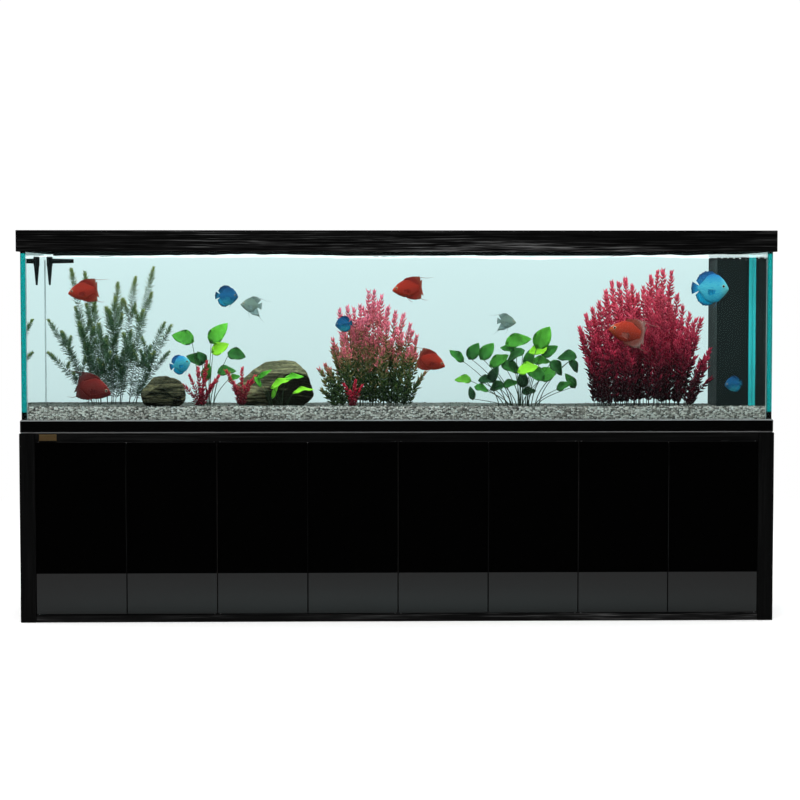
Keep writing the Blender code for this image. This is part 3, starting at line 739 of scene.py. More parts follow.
def along_route(route, start, gap):
    """Yields (place, direction, length left) up a stem. gap(left) is the way to the next place."""
    parts = len(route) - 1
    length = sum((b - a).length for a, b in zip(route, route[1:]))
    left = length * (1 - start)
    while left > 0:
        at = min((1 - left / length) * parts, parts - 0.001)
        a, b = route[int(at)], route[int(at) + 1]
        yield a.lerp(b, at - int(at)), b - a, left
        left -= gap(left)


def crown_share(left, reach):
    """How far a place is into the crown of a stem: 0 below it, and 1 at the tip."""
    return max(0.0, 1 - left / reach)


def limited(tone):
    return min(1.0, max(0.0, tone))


def make_bush(name, node, profile, stems, leaf, looks, seed, base_share, spacing):
    """A thicket of upright stems with whorls of small pointed leaves that close into a plume.

    profile is (x, height above the gravel) along the bush, in metres from its middle. leaf is (length,
    width). base_share is how far out its stems stand at the gravel, as a share of how far out they end.
    """
    draw = random.Random(seed)
    centre = middle_of(node)
    left, right = profile[0][0], profile[-1][0]
    deep = (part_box(node)[1].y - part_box(node)[0].y) / 2
    growth = Growth()
    for index in range(stems):
        u = left + (right - left) * ((index + draw.uniform(0.1, 0.9)) / stems)
        leader = index % 3 == 0
        v = draw.uniform(-0.3, 0.3) if leader else draw.uniform(-0.9, 0.9)
        tall = between(profile, u) * (draw.uniform(0.95, 1.0) if leader else draw.uniform(0.42, 0.90))
        grow_stem(growth, draw, Vector((u, v * deep, tall)), base_share, leaf, spacing)
    place = on_gravel(centre.x, centre.y)
    piece(name, growth.mesh(name), looks, at=place, stands_for=[node])


def grow_stem(growth, draw, tip, base_share, leaf, spacing):
    """One leafy stem of a bush, from the gravel to its tip, with side shoots if it is long."""
    base = Vector((tip.x * base_share * draw.uniform(0.8, 1.0), tip.y * 0.7, ROOT_Z))
    route = stem_route(base, tip, 1.5, 10)
    growth.stem(route, 0.0016, 0.0007, 0.15, kind=1)
    leaves_along(growth, draw, route, 0.07, leaf, spacing)
    if tip.z < BRANCHING_HEIGHT:
        return
    for side in (-1, 1):
        start = draw.randint(4, 7)
        long = draw.uniform(0.055, 0.100)
        lean = Vector((side * draw.uniform(0.20, 0.42), draw.uniform(-0.2, 0.2), 1.0)).normalized()
        if (route[start] + lean * long).z < tip.z:
            shoot = stem_route(route[start], route[start] + lean * long, 0.7, 6)
            growth.stem(shoot, 0.0010, 0.0006, 0.15, kind=1)
            leaves_along(growth, draw, shoot, 0.25, leaf, spacing)


def leaves_along(growth, draw, route, start, leaf, spacing):
    """Whorls of pointed leaves that close up towards the tip of a stem."""
    def gap(left):
        return spacing * (1 - 0.30 * crown_share(left, BUSH_CROWN)) * draw.uniform(0.7, 1.3)

    twist = draw.uniform(0, ANY_TURN)
    for spot, ahead, left in along_route(route, start, gap):
        side, over = axes_across(ahead)
        twist += 0.8 + draw.uniform(-0.3, 0.3)
        crown = crown_share(left, BUSH_CROWN)
        for quarter in range(4):
            turn = twist + quarter * QUARTER_TURN + draw.uniform(-0.35, 0.35)
            out = side * math.cos(turn) + over * math.sin(turn)
            lift = 1.10 + 1.9 * crown * crown + draw.uniform(-0.55, 0.55)
            size = leaf[0] * (1.0 - 0.20 * crown) * draw.uniform(0.60, 1.25)
            along = (out + ahead.normalized() * lift).normalized() * size
            tone = limited(0.38 + 0.45 * crown + draw.gauss(0, 0.24))
            growth.blade(spot, along, leaf[1] * draw.uniform(0.8, 1.2), tone)


def make_fern(name, node, tips, looks, seed):
    """A clump of feathery stems: fine needles in whorls, close and pale at each tip.

    tips are (x, height, whether its needles are long).
    """
    draw = random.Random(seed)
    centre = middle_of(node)
    growth = Growth()
    for x, height, long_needles in tips:
        y = draw.uniform(-0.085, 0.075)
        tip = Vector((x, y, height))
        base = Vector((max(-0.075, min(0.115, x * 0.42)) + draw.uniform(-0.012, 0.012), y * 0.6, ROOT_Z))
        route = stem_route(base, tip, 1.25, 12)
        growth.stem(route, 0.0013, 0.0006, 0.1, kind=1)
        needles_along(growth, draw, route, 0.14, long_needles)
        for side in (-1, 1):
            start = draw.randint(5, 8)
            long = draw.uniform(0.06, 0.12) * min(1.0, height / 0.4)
            lean = Vector((side * draw.uniform(0.25, 0.50), draw.uniform(-0.25, 0.25), 1.0)).normalized()
            shoot = stem_route(route[start], route[start] + lean * long, 0.75, 6)
            growth.stem(shoot, 0.0009, 0.0005, 0.1, kind=1)
            needles_along(growth, draw, shoot, 0.2, long_needles)
    place = on_gravel(centre.x, centre.y)
    piece(name, growth.mesh(name), looks, at=place, stands_for=[node])


def needles_along(growth, draw, route, start, long_needles):
    """Fine needles that stand out from a stem and close into a pale tuft at its tip."""
    def gap(left):
        crown = crown_share(left, FERN_CROWN)
        return 0.0082 * (1 - 0.15 * crown - 0.30 * crown ** 3) * draw.uniform(0.75, 1.25)

    for spot, ahead, left in along_route(route, start, gap):
        side, over = axes_across(ahead)
        crown = crown_share(left, FERN_CROWN)
        close = crown ** 3
        reach = (0.034 if long_needles else 0.028) * (1 - 0.55 * close)
        needles = 8 + int(5 * crown)
        spin = draw.uniform(0, ANY_TURN)
        for count in range(needles):
            turn = spin + NEEDLE_ROUND * count / needles
            out = side * math.cos(turn) + over * math.sin(turn)
            lift = 0.42 + 0.40 * crown + 0.9 * close + draw.uniform(-0.30, 0.40)
            along = (out + ahead.normalized() * lift).normalized() * reach * draw.uniform(0.5, 1.2)
            tone = limited(0.28 + 0.20 * crown + 0.32 * close + draw.gauss(0, 0.14))
            growth.blade(spot, along, NEEDLE_WIDTH, tone)


def make_broad_plant(name, centre, leaves, looks, seed, crown_x=0.0, spread=0.05, slim=0.72, stands_for=()):
    """Wide leaves on thin stalks. Each leaf is (x, height, length, heading, facing, tone).

    heading is the way the leaf points in the plane of the front pane, in degrees from +X.
    facing turns its upper side from the ceiling (0) to the front pane (90).
    """
    draw = random.Random(seed)
    growth = Growth()
    for x, height, length, heading, facing, tone in leaves:
        y = draw.uniform(-spread, spread)
        turn = math.radians(heading)
        forward = Vector((math.cos(turn), draw.uniform(-0.25, 0.1), math.sin(turn))).normalized()
        along = forward * length
        root = Vector((x, y, height)) - along * 0.45
        tip_over = math.radians(facing)
        face = Vector((0, -math.sin(tip_over), math.cos(tip_over)))
        base = Vector((crown_x + (x - crown_x) * 0.33 + draw.uniform(-0.012, 0.012), y * 0.4, ROOT_Z))
        growth.stem(stem_route(base, root, 1.8, 9), 0.0022, 0.0012, 0.3, kind=1)
        curl = draw.uniform(-0.15, 0.60)
        width = length * slim * draw.uniform(0.8, 1.1)
        growth.broad_leaf(root, along, face, width, tone, curl)
    place = on_gravel(centre.x, centre.y)
    piece(name, growth.mesh(name), looks, at=place, stands_for=stands_for)


def make_sprig(name, x, y, tips, leaf, looks, seed):
    """A small plant of a few leafy stems. tips are (x, height) from its foot."""
    draw = random.Random(seed)
    growth = Growth()
    for u, tall in tips:
        tip = Vector((u, draw.uniform(-0.02, 0.02), tall))
        grow_stem(growth, draw, tip, 0.15, leaf, 0.0100)
    piece(name, growth.mesh(name), looks, at=on_gravel(x, y))


def make_water():
    """The body of water, clear of the panes, with a rippled top."""
    low = Vector((INNER_LOW.x + WATER_GAP, INNER_LOW.y + WATER_GAP, INNER_LOW.z + WATER_FOOT))
    high = Vector((INNER_HIGH.x - WATER_GAP, INNER_HIGH.y - WATER_GAP, WATER_LEVEL))
    columns, rows = 360, 70
    points = []
    for row in range(rows + 1):
        y = low.y + (high.y - low.y) * row / rows
        for column in range(columns + 1):
            x = low.x + (high.x - low.x) * column / columns
            tilt = 0.0015 - 0.0050 * row / rows
            swell = 0.0085 * noise.noise(Vector((2.1 * x, 1.6 * y, 0.3)))
            chop = 0.0042 * noise.noise(Vector((9 * x, 6 * y, 2.0)))
            chop += 0.0024 * noise.noise(Vector((31 * x, 22 * y, 4.0)))
            points.append((x, y, high.z + tilt + swell + chop))
    faces = grid_faces(rows, columns)
    kinds = [1] * len(faces)
    across = columns + 1
    rim = list(range(across))
    rim += [row * across + columns for row in range(1, rows + 1)]
    rim += [rows * across + column for column in range(columns - 1, -1, -1)]
    rim += [row * across for row in range(rows - 1, 0, -1)]
    start = len(points)
    for index in rim:
        x, y, _ = points[index]
        points.append((x, y, low.z))
    count = len(rim)
    for step in range(count):
        ahead = (step + 1) % count
        faces.append((rim[ahead], rim[step], start + step, start + ahead))
        kinds.append(0)
    faces.append([start + step for step in range(count)][::-1])
    kinds.append(0)
    mesh = bpy.data.meshes.new("water")
    mesh.from_pydata(points, [], faces)
    mesh.polygons.foreach_set("material_index", kinds)
    mesh.polygons.foreach_set("use_smooth", [kind == 1 for kind in kinds])
    clear = glass("clear_water", (0.25, 0.48, 0.49), density=0.30, ior=1.33, glint=0.0)
    piece("water", mesh, [clear, water_surface("bright_ripples")])


# --------------------------------------------------------------------------- fish


def resample(stops, steps):
    """steps + 1 points along a line of (x, z) stops."""
    lengths = [0.0]
    for (x0, z0), (x1, z1) in zip(stops, stops[1:]):
        lengths.append(lengths[-1] + math.hypot(x1 - x0, z1 - z0))
    xs = [(d, x) for d, (x, _) in zip(lengths, stops)]
    zs = [(d, z) for d, (_, z) in zip(lengths, stops)]
    places = [lengths[-1] * step / steps for step in range(steps + 1)]
    return [(between(xs, place), between(zs, place)) for place in places]


def add_fin(growth, inner, outer, y=0.0, flare=0.0, thick=0.012, steps=18):
    """A thin fin between its root line and its free edge, which flares aside from the body."""
    roots, edges = resample(inner, steps), resample(outer, steps)
    bands = 4
    points = []
    for side in (1, -1):
        for step, ((x0, z0), (x1, z1)) in enumerate(zip(roots, edges)):
            for band in range(bands + 1):
                t = band / bands
                fray = t * (1 - 0.07 * (step % 2))
                x, z = x0 + (x1 - x0) * fray, z0 + (z1 - z0) * fray
                depth = thick * (1 - t) * side * 0.5
                points.append(Vector((x, y + flare * t + depth + 0.006 * t * math.sin(30 * x), z)))
    across = bands + 1
    count = len(points) // 2
    faces = []
    for step in range(steps):
        for band in range(bands):
            a = step * across + band
            quad = (a, a + 1, a + across + 1, a + across)
            faces.append(quad)
            faces.append([count + corner for corner in quad[::-1]])
        a, b = step * across, (step + 1) * across
        faces.append((b, count + b, count + a, a))
    for end, flip in ((0, 1), (steps * across, -1)):
        rim = [end + band for band in range(bands + 1)]
        rim += [count + corner for corner in rim[::-1]]
        faces.append(rim[::flip])
    growth.add(points, faces, 0.5, kind=1)


def add_ball(growth, centre, radius, squash, kind):
    """A small ball, flattened sideways."""
    rings, sides = 6, 10
    points = [centre + Vector((0, 0, radius))]
    for ring in range(1, rings):
        polar = math.pi * ring / rings
        for step in range(sides):
            turn = FULL_TURN * step / sides
            flat = math.sin(polar) * radius
            spot = Vector((flat * math.cos(turn), flat * math.sin(turn) * squash, radius * math.cos(polar)))
            points.append(centre + spot)
    points.append(centre - Vector((0, 0, radius)))
    faces = []
    last = len(points) - 1
    for step in range(sides):
        ahead = (step + 1) % sides
        faces.append((0, 1 + step, 1 + ahead))
        for ring in range(rings - 2):
            a, b = 1 + ring * sides + step, 1 + ring * sides + ahead
            faces.append((a, a + sides, b + sides, b))
        faces.append((last, last - sides + ahead, last - sides + step))
    growth.add(points, faces, 0.5, kind)


# Body outlines as (share of length, top, bottom, half thickness). Fins as (first x, last x, free edge).
FISH_KINDS = {
    "discus": {
        "body": ((0.0, 0.01, -0.02, 0.012), (0.05, 0.10, -0.09, 0.045), (0.16, 0.24, -0.21, 0.075),
                 (0.32, 0.36, -0.34, 0.095), (0.52, 0.40, -0.39, 0.090), (0.70, 0.34, -0.34, 0.065),
                 (0.84, 0.18, -0.18, 0.035), (0.94, 0.080, -0.080, 0.020), (1.0, 0.07, -0.07, 0.012)),
        "end": 0.82,
        "fins": ((-0.26, 0.27, ((-0.27, 0.30), (-0.05, 0.46), (0.14, 0.46), (0.29, 0.36), (0.37, 0.20))),
                 (-0.20, 0.27, ((-0.21, -0.31), (0.0, -0.46), (0.16, -0.46), (0.30, -0.35), (0.37, -0.19)))),
        "tail": ((0.47, 0.17), (0.50, 0.0), (0.47, -0.17)),
        "filaments": (((-0.22, -0.30), (-0.12, -0.50)),),
    },
    "veil": {
        "body": ((0.0, -0.01, -0.05, 0.012), (0.07, 0.06, -0.10, 0.050), (0.22, 0.18, -0.19, 0.085),
                 (0.42, 0.27, -0.27, 0.095), (0.62, 0.28, -0.27, 0.080), (0.80, 0.20, -0.20, 0.050),
                 (0.93, 0.13, -0.13, 0.024), (1.0, 0.11, -0.11, 0.014)),
        "end": 0.84,
        "fins": ((-0.22, 0.31, ((-0.23, 0.19), (-0.06, 0.34), (0.18, 0.38), (0.41, 0.36), (0.42, 0.20))),
                 (-0.10, 0.31, ((-0.11, -0.26), (0.06, -0.35), (0.22, -0.38), (0.40, -0.36), (0.42, -0.20)))),
        "tail": ((0.47, 0.27), (0.44, 0.0), (0.48, -0.27)),
        "filaments": (((0.34, 0.345), (0.84, 0.30)), ((0.36, -0.33), (0.62, -0.40)),
                      ((-0.08, -0.24), (0.12, -0.44))),
    },
    "angel": {
        "body": ((0.0, 0.0, -0.04, 0.012), (0.08, 0.08, -0.10, 0.045), (0.25, 0.22, -0.21, 0.075),
                 (0.45, 0.32, -0.31, 0.080), (0.65, 0.31, -0.30, 0.060), (0.82, 0.19, -0.19, 0.035),
                 (0.94, 0.09, -0.09, 0.018), (1.0, 0.075, -0.075, 0.012)),
        "end": 0.80,
        "fins": ((-0.20, 0.25, ((-0.21, 0.24), (0.0, 0.41), (0.20, 0.41), (0.40, 0.29))),
                 (-0.12, 0.25, ((-0.13, -0.30), (0.06, -0.42), (0.24, -0.45), (0.42, -0.50)))),
        "tail": ((0.45, 0.17), (0.46, 0.0), (0.45, -0.17)),
        "filaments": (((0.30, 0.36), (0.86, 0.24)), ((0.36, -0.45), (0.66, -0.70)),
                      ((-0.12, -0.28), (-0.02, -0.60))),
    },
}


def add_body(growth, tops, bottoms, widths, length):
    """Rings from the mouth to the tail's root, closed by a point at each end."""
    rings, sides = 26, 18
    points = [Vector((-0.5, 0, (tops[0][1] + bottoms[0][1]) / 2))]
    for ring in range(rings + 1):
        t = ring / rings
        ease = t * t * (3 - 2 * t) * 0.35 + t * 0.65
        top, bottom, wide = between(tops, ease), between(bottoms, ease), between(widths, ease)
        for step in range(sides):
            turn = FULL_TURN * step / sides
            z = (top + bottom) / 2 + (top - bottom) / 2 * math.sin(turn)
            points.append(Vector((-0.5 + length * ease + 0.001, wide * math.cos(turn), z)))
    points.append(Vector((-0.5 + length + 0.004, 0, (tops[-1][1] + bottoms[-1][1]) / 2)))
    faces = []
    last = len(points) - 1
    for step in range(sides):
        ahead = (step + 1) % sides
        faces.append((0, 1 + ahead, 1 + step))
        for ring in range(rings):
            a, b = 1 + ring * sides + step, 1 + ring * sides + ahead
            faces.append((a, b, b + sides, a + sides))
        faces.append((last, last - sides + step, last - sides + ahead))
    growth.add(points, faces, 0.5)


def add_tall_fins(growth, shape, tops, bottoms):
    """The fins along the back and belly, and the tail."""
    length = shape["end"]
    for first, end, edge in shape["fins"]:
        line = tops if edge[0][1] > 0 else bottoms
        root = []
        for step in range(9):
            x = first + (end - first) * step / 8
            root.append((x, 0.82 * between(line, (x + 0.5) / length)))
        add_fin(growth, root, edge)
    width = tops[-1][1] * 0.9
    stalk = length - 0.55
    add_fin(growth, ((stalk, width), (stalk + 0.01, 0.0), (stalk, -width)), shape["tail"])


def add_side(growth, tops, widths, side):
    """The small fin and the eye on one side, -1 or 1."""
    root = ((-0.16, -0.03), (-0.15, -0.13))
    edge = ((0.04, -0.02), (0.06, -0.10), (0.02, -0.19))
    add_fin(growth, root, edge, y=side * 0.080, flare=side * 0.075, thick=0.010, steps=6)
    x, z = -0.36, between(tops, 0.17) * 0.28
    y = between(widths, 0.17) * 0.86
    add_ball(growth, Vector((x, side * y, z)), 0.044, 0.60, 2)
    add_ball(growth, Vector((x - 0.002, side * (y + 0.016), z)), 0.030, 0.5, 3)


def add_filament(growth, start, end):
    """A trailing ray of a fin, which sags between its ends."""
    begin, finish = Vector((start[0], 0, start[1])), Vector((end[0], 0.02, end[1]))
    sag = Vector((0, 0, -0.03))
    route = [begin.lerp(finish, s / 6) + sag * math.sin(math.pi * s / 6) for s in range(7)]
    growth.stem(route, 0.009, 0.0025, 0.5, kind=1)


def fish_mesh(name, kind):
    """A fish one unit long, with its head towards -X."""
    shape = FISH_KINDS[kind]
    tops, bottoms, widths = ([(s[0], s[part]) for s in shape["body"]] for part in (1, 2, 3))
    growth = Growth()
    add_body(growth, tops, bottoms, widths, shape["end"])
    add_tall_fins(growth, shape, tops, bottoms)
    for side in (-1, 1):
        add_side(growth, tops, widths, side)
    for start, end in shape["filaments"]:
        add_filament(growth, start, end)
    return growth.mesh(name)


def scales_look(name, back, flank, belly, face, marks):
    """Scales with wavy markings, a face of its own colour, and painted shade on the underside."""
    look = Look(name, Specular_IOR_Level=0.2)
    height = look.span(look.split(look.place, 2), -0.42, 0.42)
    colour = look.ramp(height, (0.10, belly), (0.40, flank), (0.62, flank), (0.95, back))
    worms = look.noise((4.0, 4.0, 20.0), 2.0, 0.5, 1.9)
    colour = look.mix(look.span(worms, 0.50, 0.62, 0.0, 0.75), colour, marks)
    head = look.span(look.split(look.place, 0), -0.47, -0.26, 0.85, 0.0)
    colour = look.mix(head, colour, face)
    # painted shade: what faces down is darker
    shaded_underside = look.span(look.split(look.geometry("Normal"), 2), -0.9, 0.1, 0.45, 0.0)
    look.to("Base Color", look.mix(shaded_underside, colour, 0.0, "MULTIPLY"))
    scales = look.cells(46.0)
    look.to("Roughness", look.span(scales, 0.0, 0.7, 0.28, 0.5))
    return look.bump(scales, 0.004, 0.25).material


def fins_look(name, low, top, rim):
    """Rayed fins that end in a rim of another colour."""
    look = Look(name, Specular_IOR_Level=0.15)
    rays = look.noise((60.0, 60.0, 8.0), 3.0)
    height = look.span(look.split(look.place, 2), -0.45, 0.45)
    reach = look.vector_math("LENGTH", look.place)
    colour = look.ramp(height, (0.15, low), (0.85, top))
    colour = look.mix(look.span(reach, 0.36, 0.44, 0.0, 0.75), colour, rim)
    look.to("Base Color", look.mix(look.span(rays, 0.35, 0.65, 0.0, 0.5), colour, 0.0, "MULTIPLY"))
    look.to("Roughness", look.span(rays, 0.3, 0.7, 0.4, 0.6))
    return look.bump(rays, 0.006, 0.4).material


def fish_looks(name, tint, *colours):
    """The materials of one fish: scales, fins, iris and pupil. Its colours are darkened by tint."""
    back, flank, belly, face, fin_top, fin_low, marks, rim = (times(tint, srgb(*c)) for c in colours)
    return [
        scales_look(f"{name}_scales", back, flank, belly, face, marks),
        fins_look(f"{name}_fins", fin_low, fin_top, rim),
        speckled(f"{name}_iris", face, (0.75, 0.62, 0.40), 90.0, 2.0, Roughness=0.15),
        speckled(f"{name}_pupil", 0.002, 0.010, 60.0, 1.0, Roughness=0.08),
    ]


# Each tint, then the display colours of back, flank, belly, face, upper fin, lower fin, markings and fin rim
FISH_COLOURS = {
    "red": (0.62, (156, 36, 24), (204, 48, 26), (216, 70, 34), (232, 72, 32),
            (176, 40, 30), (196, 48, 32), (166, 34, 24), (214, 104, 78)),
    "dark_red": (0.55, (142, 42, 40), (162, 40, 34), (170, 46, 36), (116, 20, 24),
                 (164, 52, 50), (150, 36, 34), (136, 30, 30), (150, 96, 92)),
    "orange": (0.66, (186, 50, 34), (214, 62, 36), (206, 40, 28), (222, 96, 52),
               (196, 84, 66), (206, 104, 92), (186, 40, 28), (226, 168, 160)),
    "blue": (1.0, (34, 120, 186), (78, 184, 206), (40, 178, 218), (112, 200, 202),
             (44, 112, 178), (14, 168, 212), (36, 150, 196), (26, 84, 136)),
    "deep_blue": (0.85, (18, 66, 112), (24, 104, 156), (70, 198, 218), (34, 92, 128),
                  (18, 78, 130), (44, 168, 208), (16, 68, 108), (14, 52, 84)),
    "grey": (1.05, (92, 108, 98), (122, 138, 128), (176, 194, 190), (140, 150, 138),
             (116, 132, 124), (150, 170, 168), (88, 104, 94), (170, 188, 184)),
}

# Each fish: kind, colours, place (x, y, height above the floor), length, the way it faces (-1 is left) and
# how far its nose points down, in degrees
FISH = (
    ("veil", "red", (-1.262, -0.15, 1.316), 0.128, -1, 6),
    ("veil", "dark_red", (-1.222, -0.20, 0.926), 0.150, 1, 16),
    ("discus", "deep_blue", (-0.693, -0.05, 1.295), 0.096, 1, 4),
    ("angel", "grey", (-0.592, 0.00, 1.258), 0.092, -1, -6),
    ("discus", "blue", (-0.879, -0.12, 1.019), 0.088, 1, -14),
    ("discus", "deep_blue", (-0.215, -0.15, 1.183), 0.072, -1, 8),
    ("veil", "red", (0.045, -0.10, 1.326), 0.128, -1, 4),
    ("veil", "red", (0.138, -0.14, 1.032), 0.120, 1, 18),
    ("angel", "grey", (0.452, 0.05, 1.190), 0.084, 1, 4),
    ("veil", "orange", (0.938, -0.12, 1.150), 0.156, -1, -12),
    ("discus", "blue", (1.273, -0.10, 1.326), 0.154, 1, 2),
    ("discus", "deep_blue", (1.385, -0.02, 0.934), 0.074, -1, 10),
)


def make_fish():
    looks = {name: fish_looks(name, *colours) for name, colours in FISH_COLOURS.items()}
    for number, (kind, colours, place, length, side, down) in enumerate(FISH, start=1):
        name = f"fish_{kind}_{number}"
        turn = Matrix.Rotation(math.radians(180 if side > 0 else 0) + 0.12 * math.sin(5 * number), 4, "Z")
        nod = Matrix.Rotation(math.radians(-down), 4, "Y")
        at = Matrix.Translation(place) @ turn @ nod @ Matrix.Scale(length, 4)
        piece(name, fish_mesh(name, kind), looks[colours], at=at)


# --------------------------------------------------------------------------- the tank's contents


FERN_TIPS = (
    (-0.154, 0.560, False), (-0.092, 0.545, False), (0.036, 0.503, False), (0.115, 0.524, False),
    (0.181, 0.562, False), (-0.247, 0.346, False), (0.259, 0.325, False), (-0.143, 0.400, False),
    (-0.118, 0.338, False), (-0.189, 0.300, False), (0.230, 0.337, False), (-0.064, 0.408, True),
    (0.147, 0.387, True), (0.002, 0.387, True), (-0.248, 0.213, False), (0.242, 0.213, False),
    (0.030, 0.440, True), (-0.035, 0.330, True), (0.090, 0.300, True), (-0.090, 0.250, True),
    (0.170, 0.240, False), (0.060, 0.220, True), (-0.010, 0.260, True),
)
LEFT_LEAVES = (
    (-0.088, 0.280, 0.088, 155, 70, 0.35), (0.051, 0.292, 0.092, 52, 80, 0.55),
    (0.063, 0.232, 0.076, 28, 75, 0.95), (0.132, 0.206, 0.072, -12, 70, 0.15),
    (-0.040, 0.186, 0.074, 160, 65, 0.20), (0.012, 0.136, 0.072, 75, 75, 0.50),
    (0.087, 0.142, 0.070, 20, 60, 0.45), (-0.012, 0.196, 0.050, 120, 60, 0.10),
    (0.120, 0.110, 0.050, 15, 60, 0.7),
)
RIGHT_LEAVES = (
    (-0.230, 0.205, 0.070, 140, 60, 0.30), (-0.160, 0.225, 0.072, 60, 75, 0.20),
    (-0.107, 0.226, 0.080, 52, 75, 0.35), (0.020, 0.270, 0.096, 18, 70, 0.45),
    (-0.015, 0.235, 0.066, 170, 60, 0.30), (-0.054, 0.184, 0.084, 30, 60, 0.55),
    (-0.005, 0.160, 0.086, -20, 65, 0.35), (-0.201, 0.111, 0.060, 165, 60, 0.75),
    (-0.168, 0.052, 0.052, 100, 75, 0.30), (-0.107, 0.110, 0.066, 10, 60, 0.25),
    (0.069, 0.192, 0.076, 80, 70, 0.25), (0.122, 0.282, 0.096, 58, 80, 0.70),
    (0.102, 0.229, 0.078, 200, 75, 1.00), (0.155, 0.225, 0.072, 35, 70, 0.25),
    (0.090, 0.135, 0.080, 150, 65, 0.55), (0.143, 0.135, 0.082, 40, 70, 0.65),
    (0.225, 0.205, 0.072, 172, 60, 0.10), (0.252, 0.165, 0.060, -60, 60, 0.10),
    (0.242, 0.102, 0.064, 120, 70, 0.45), (0.205, 0.084, 0.060, 30, 60, 0.55),
    (-0.066, 0.080, 0.060, 200, 60, 0.35), (-0.010, 0.092, 0.062, 20, 60, 0.60),
    (0.040, 0.110, 0.066, 95, 75, 0.20), (0.070, 0.060, 0.058, 15, 60, 0.15),
    (0.010, 0.215, 0.074, 200, 55, 0.10), (0.060, 0.150, 0.080, 10, 50, 0.90),
    (0.180, 0.160, 0.070, -35, 60, 0.20), (-0.130, 0.075, 0.056, -10, 55, 0.65),
    (0.120, 0.185, 0.070, 5, 60, 0.55), (-0.080, 0.130, 0.070, 65, 70, 0.15),
)
FRONT_LEAVES = (
    (-0.066, 0.130, 0.062, 40, 70, 0.15), (-0.088, 0.100, 0.048, 120, 60, 0.30),
    (0.004, 0.098, 0.086, 32, 45, 0.90), (0.056, 0.120, 0.072, 14, 50, 0.55),
    (0.092, 0.070, 0.078, 24, 40, 0.95), (-0.020, 0.060, 0.056, 70, 50, 0.80),
)


def make_needle_plant():
    colours = ((0.0, (48, 76, 58)), (0.30, (76, 108, 72)), (0.58, (122, 142, 72)))
    needles = leaf_look("needles", colours, 0.30, flush=(150, 156, 84))
    stalk = stalk_look("dark_stalk", (34, 48, 38), (74, 90, 60), 0.58)
    make_fern("needle_leaved_plant", "fern_plant", FERN_TIPS, [needles, stalk], seed=11)


def make_pink_bush():
    colours = (
        (0.0, (36, 50, 28)), (0.10, (66, 88, 42)), (0.19, (138, 118, 72)), (0.27, (232, 110, 122)),
        (0.52, (252, 132, 158)),
    )
    leaves = leaf_look("pink_leaves", colours, 0.20)
    stalk = stalk_look("green_stalk", (46, 60, 34), (150, 130, 90), 0.52)
    outline = (
        (-0.215, 0.140), (-0.180, 0.170), (-0.155, 0.270), (-0.120, 0.415), (-0.060, 0.390), (0.0, 0.490),
        (0.050, 0.455), (0.085, 0.390), (0.150, 0.360), (0.195, 0.270), (0.222, 0.130),
    )
    make_bush(
        "pink_bush", "red_bush_middle", outline, stems=46, leaf=(0.029, 0.0068), looks=[leaves, stalk],
        seed=23, base_share=0.78, spacing=0.0125,
    )


def make_crimson_bush():
    colours = ((0.0, (36, 10, 16)), (0.10, (66, 14, 26)), (0.24, (184, 38, 68)), (0.57, (248, 94, 118)))
    leaves = leaf_look("crimson_leaves", colours, 0.16)
    stalk = stalk_look("red_stalk", (40, 20, 20), (150, 60, 60), 0.57)
    outline = (
        (-0.275, 0.330), (-0.230, 0.400), (-0.185, 0.445), (-0.135, 0.520), (-0.090, 0.525),
        (-0.030, 0.480), (0.020, 0.540), (0.050, 0.572), (0.105, 0.552), (0.140, 0.440),
        (0.185, 0.378), (0.240, 0.365), (0.278, 0.150),
    )
    make_bush(
        "crimson_bush", "red_bush_right", outline, stems=62, leaf=(0.030, 0.0074), looks=[leaves, stalk],
        seed=31, base_share=0.82, spacing=0.0112,
    )


def make_broad_plants(stalk):
    """The two broad-leaved plants of the frame."""
    colours = ((0.0, (22, 54, 28)), (0.15, (52, 118, 42)), (0.33, (96, 184, 54)))
    green = leaf_look("broad_green", colours, spread=0.62, sheen=0.25, veins=60.0, flush=(150, 220, 48))
    for side, leaves, seed, crown_x in (("left", LEFT_LEAVES, 5, 0.0), ("right", RIGHT_LEAVES, 6, 0.03)):
        node = f"leafy_plant_{side}"
        name = f"broad_leaf_plant_{side}"
        make_broad_plant(name, middle_of(node), leaves, [green, stalk], seed, crown_x, stands_for=[node])


def make_front_plant(stalk):
    """The small pale plant in front of the large stone."""
    colours = ((0.0, (60, 150, 40)), (0.15, (100, 190, 44)))
    lime = leaf_look("lime_leaves", colours, spread=0.6, sheen=0.25, veins=60.0, flush=(138, 212, 44))
    place = Vector((-0.475, -0.15, 0))
    make_broad_plant("green_plant_in_front", place, FRONT_LEAVES, [lime, stalk], 9, spread=0.02, slim=0.40)


def make_sprigs():
    colours = ((0.0, (96, 20, 34)), (0.09, (184, 34, 58)), (0.18, (224, 60, 80)))
    leaves = leaf_look("coral_leaves", colours, 0.2)
    leaf = (0.021, 0.0058)
    looks = [leaves, stalk_look("coral_stalk", (60, 24, 28), (150, 40, 56), 0.18)]
    tips = (
        (-0.072, 0.085), (-0.045, 0.120), (-0.012, 0.155), (0.012, 0.105), (0.024, 0.175), (0.058, 0.100),
        (0.072, 0.120),
    )
    make_sprig("red_sprig_left", -0.795, -0.11, tips, leaf, looks, seed=3)
    tips = ((-0.058, 0.140), (-0.030, 0.090), (0.004, 0.150), (0.030, 0.100), (0.052, 0.115))
    make_sprig("red_sprig_middle", -0.632, -0.11, tips, leaf, looks, seed=4)
    tips = ((-0.034, 0.085), (-0.010, 0.060), (0.008, 0.100), (0.034, 0.080))
    make_sprig("red_sprig_right", -0.178, -0.16, tips, (0.020, 0.0058), looks, seed=8)


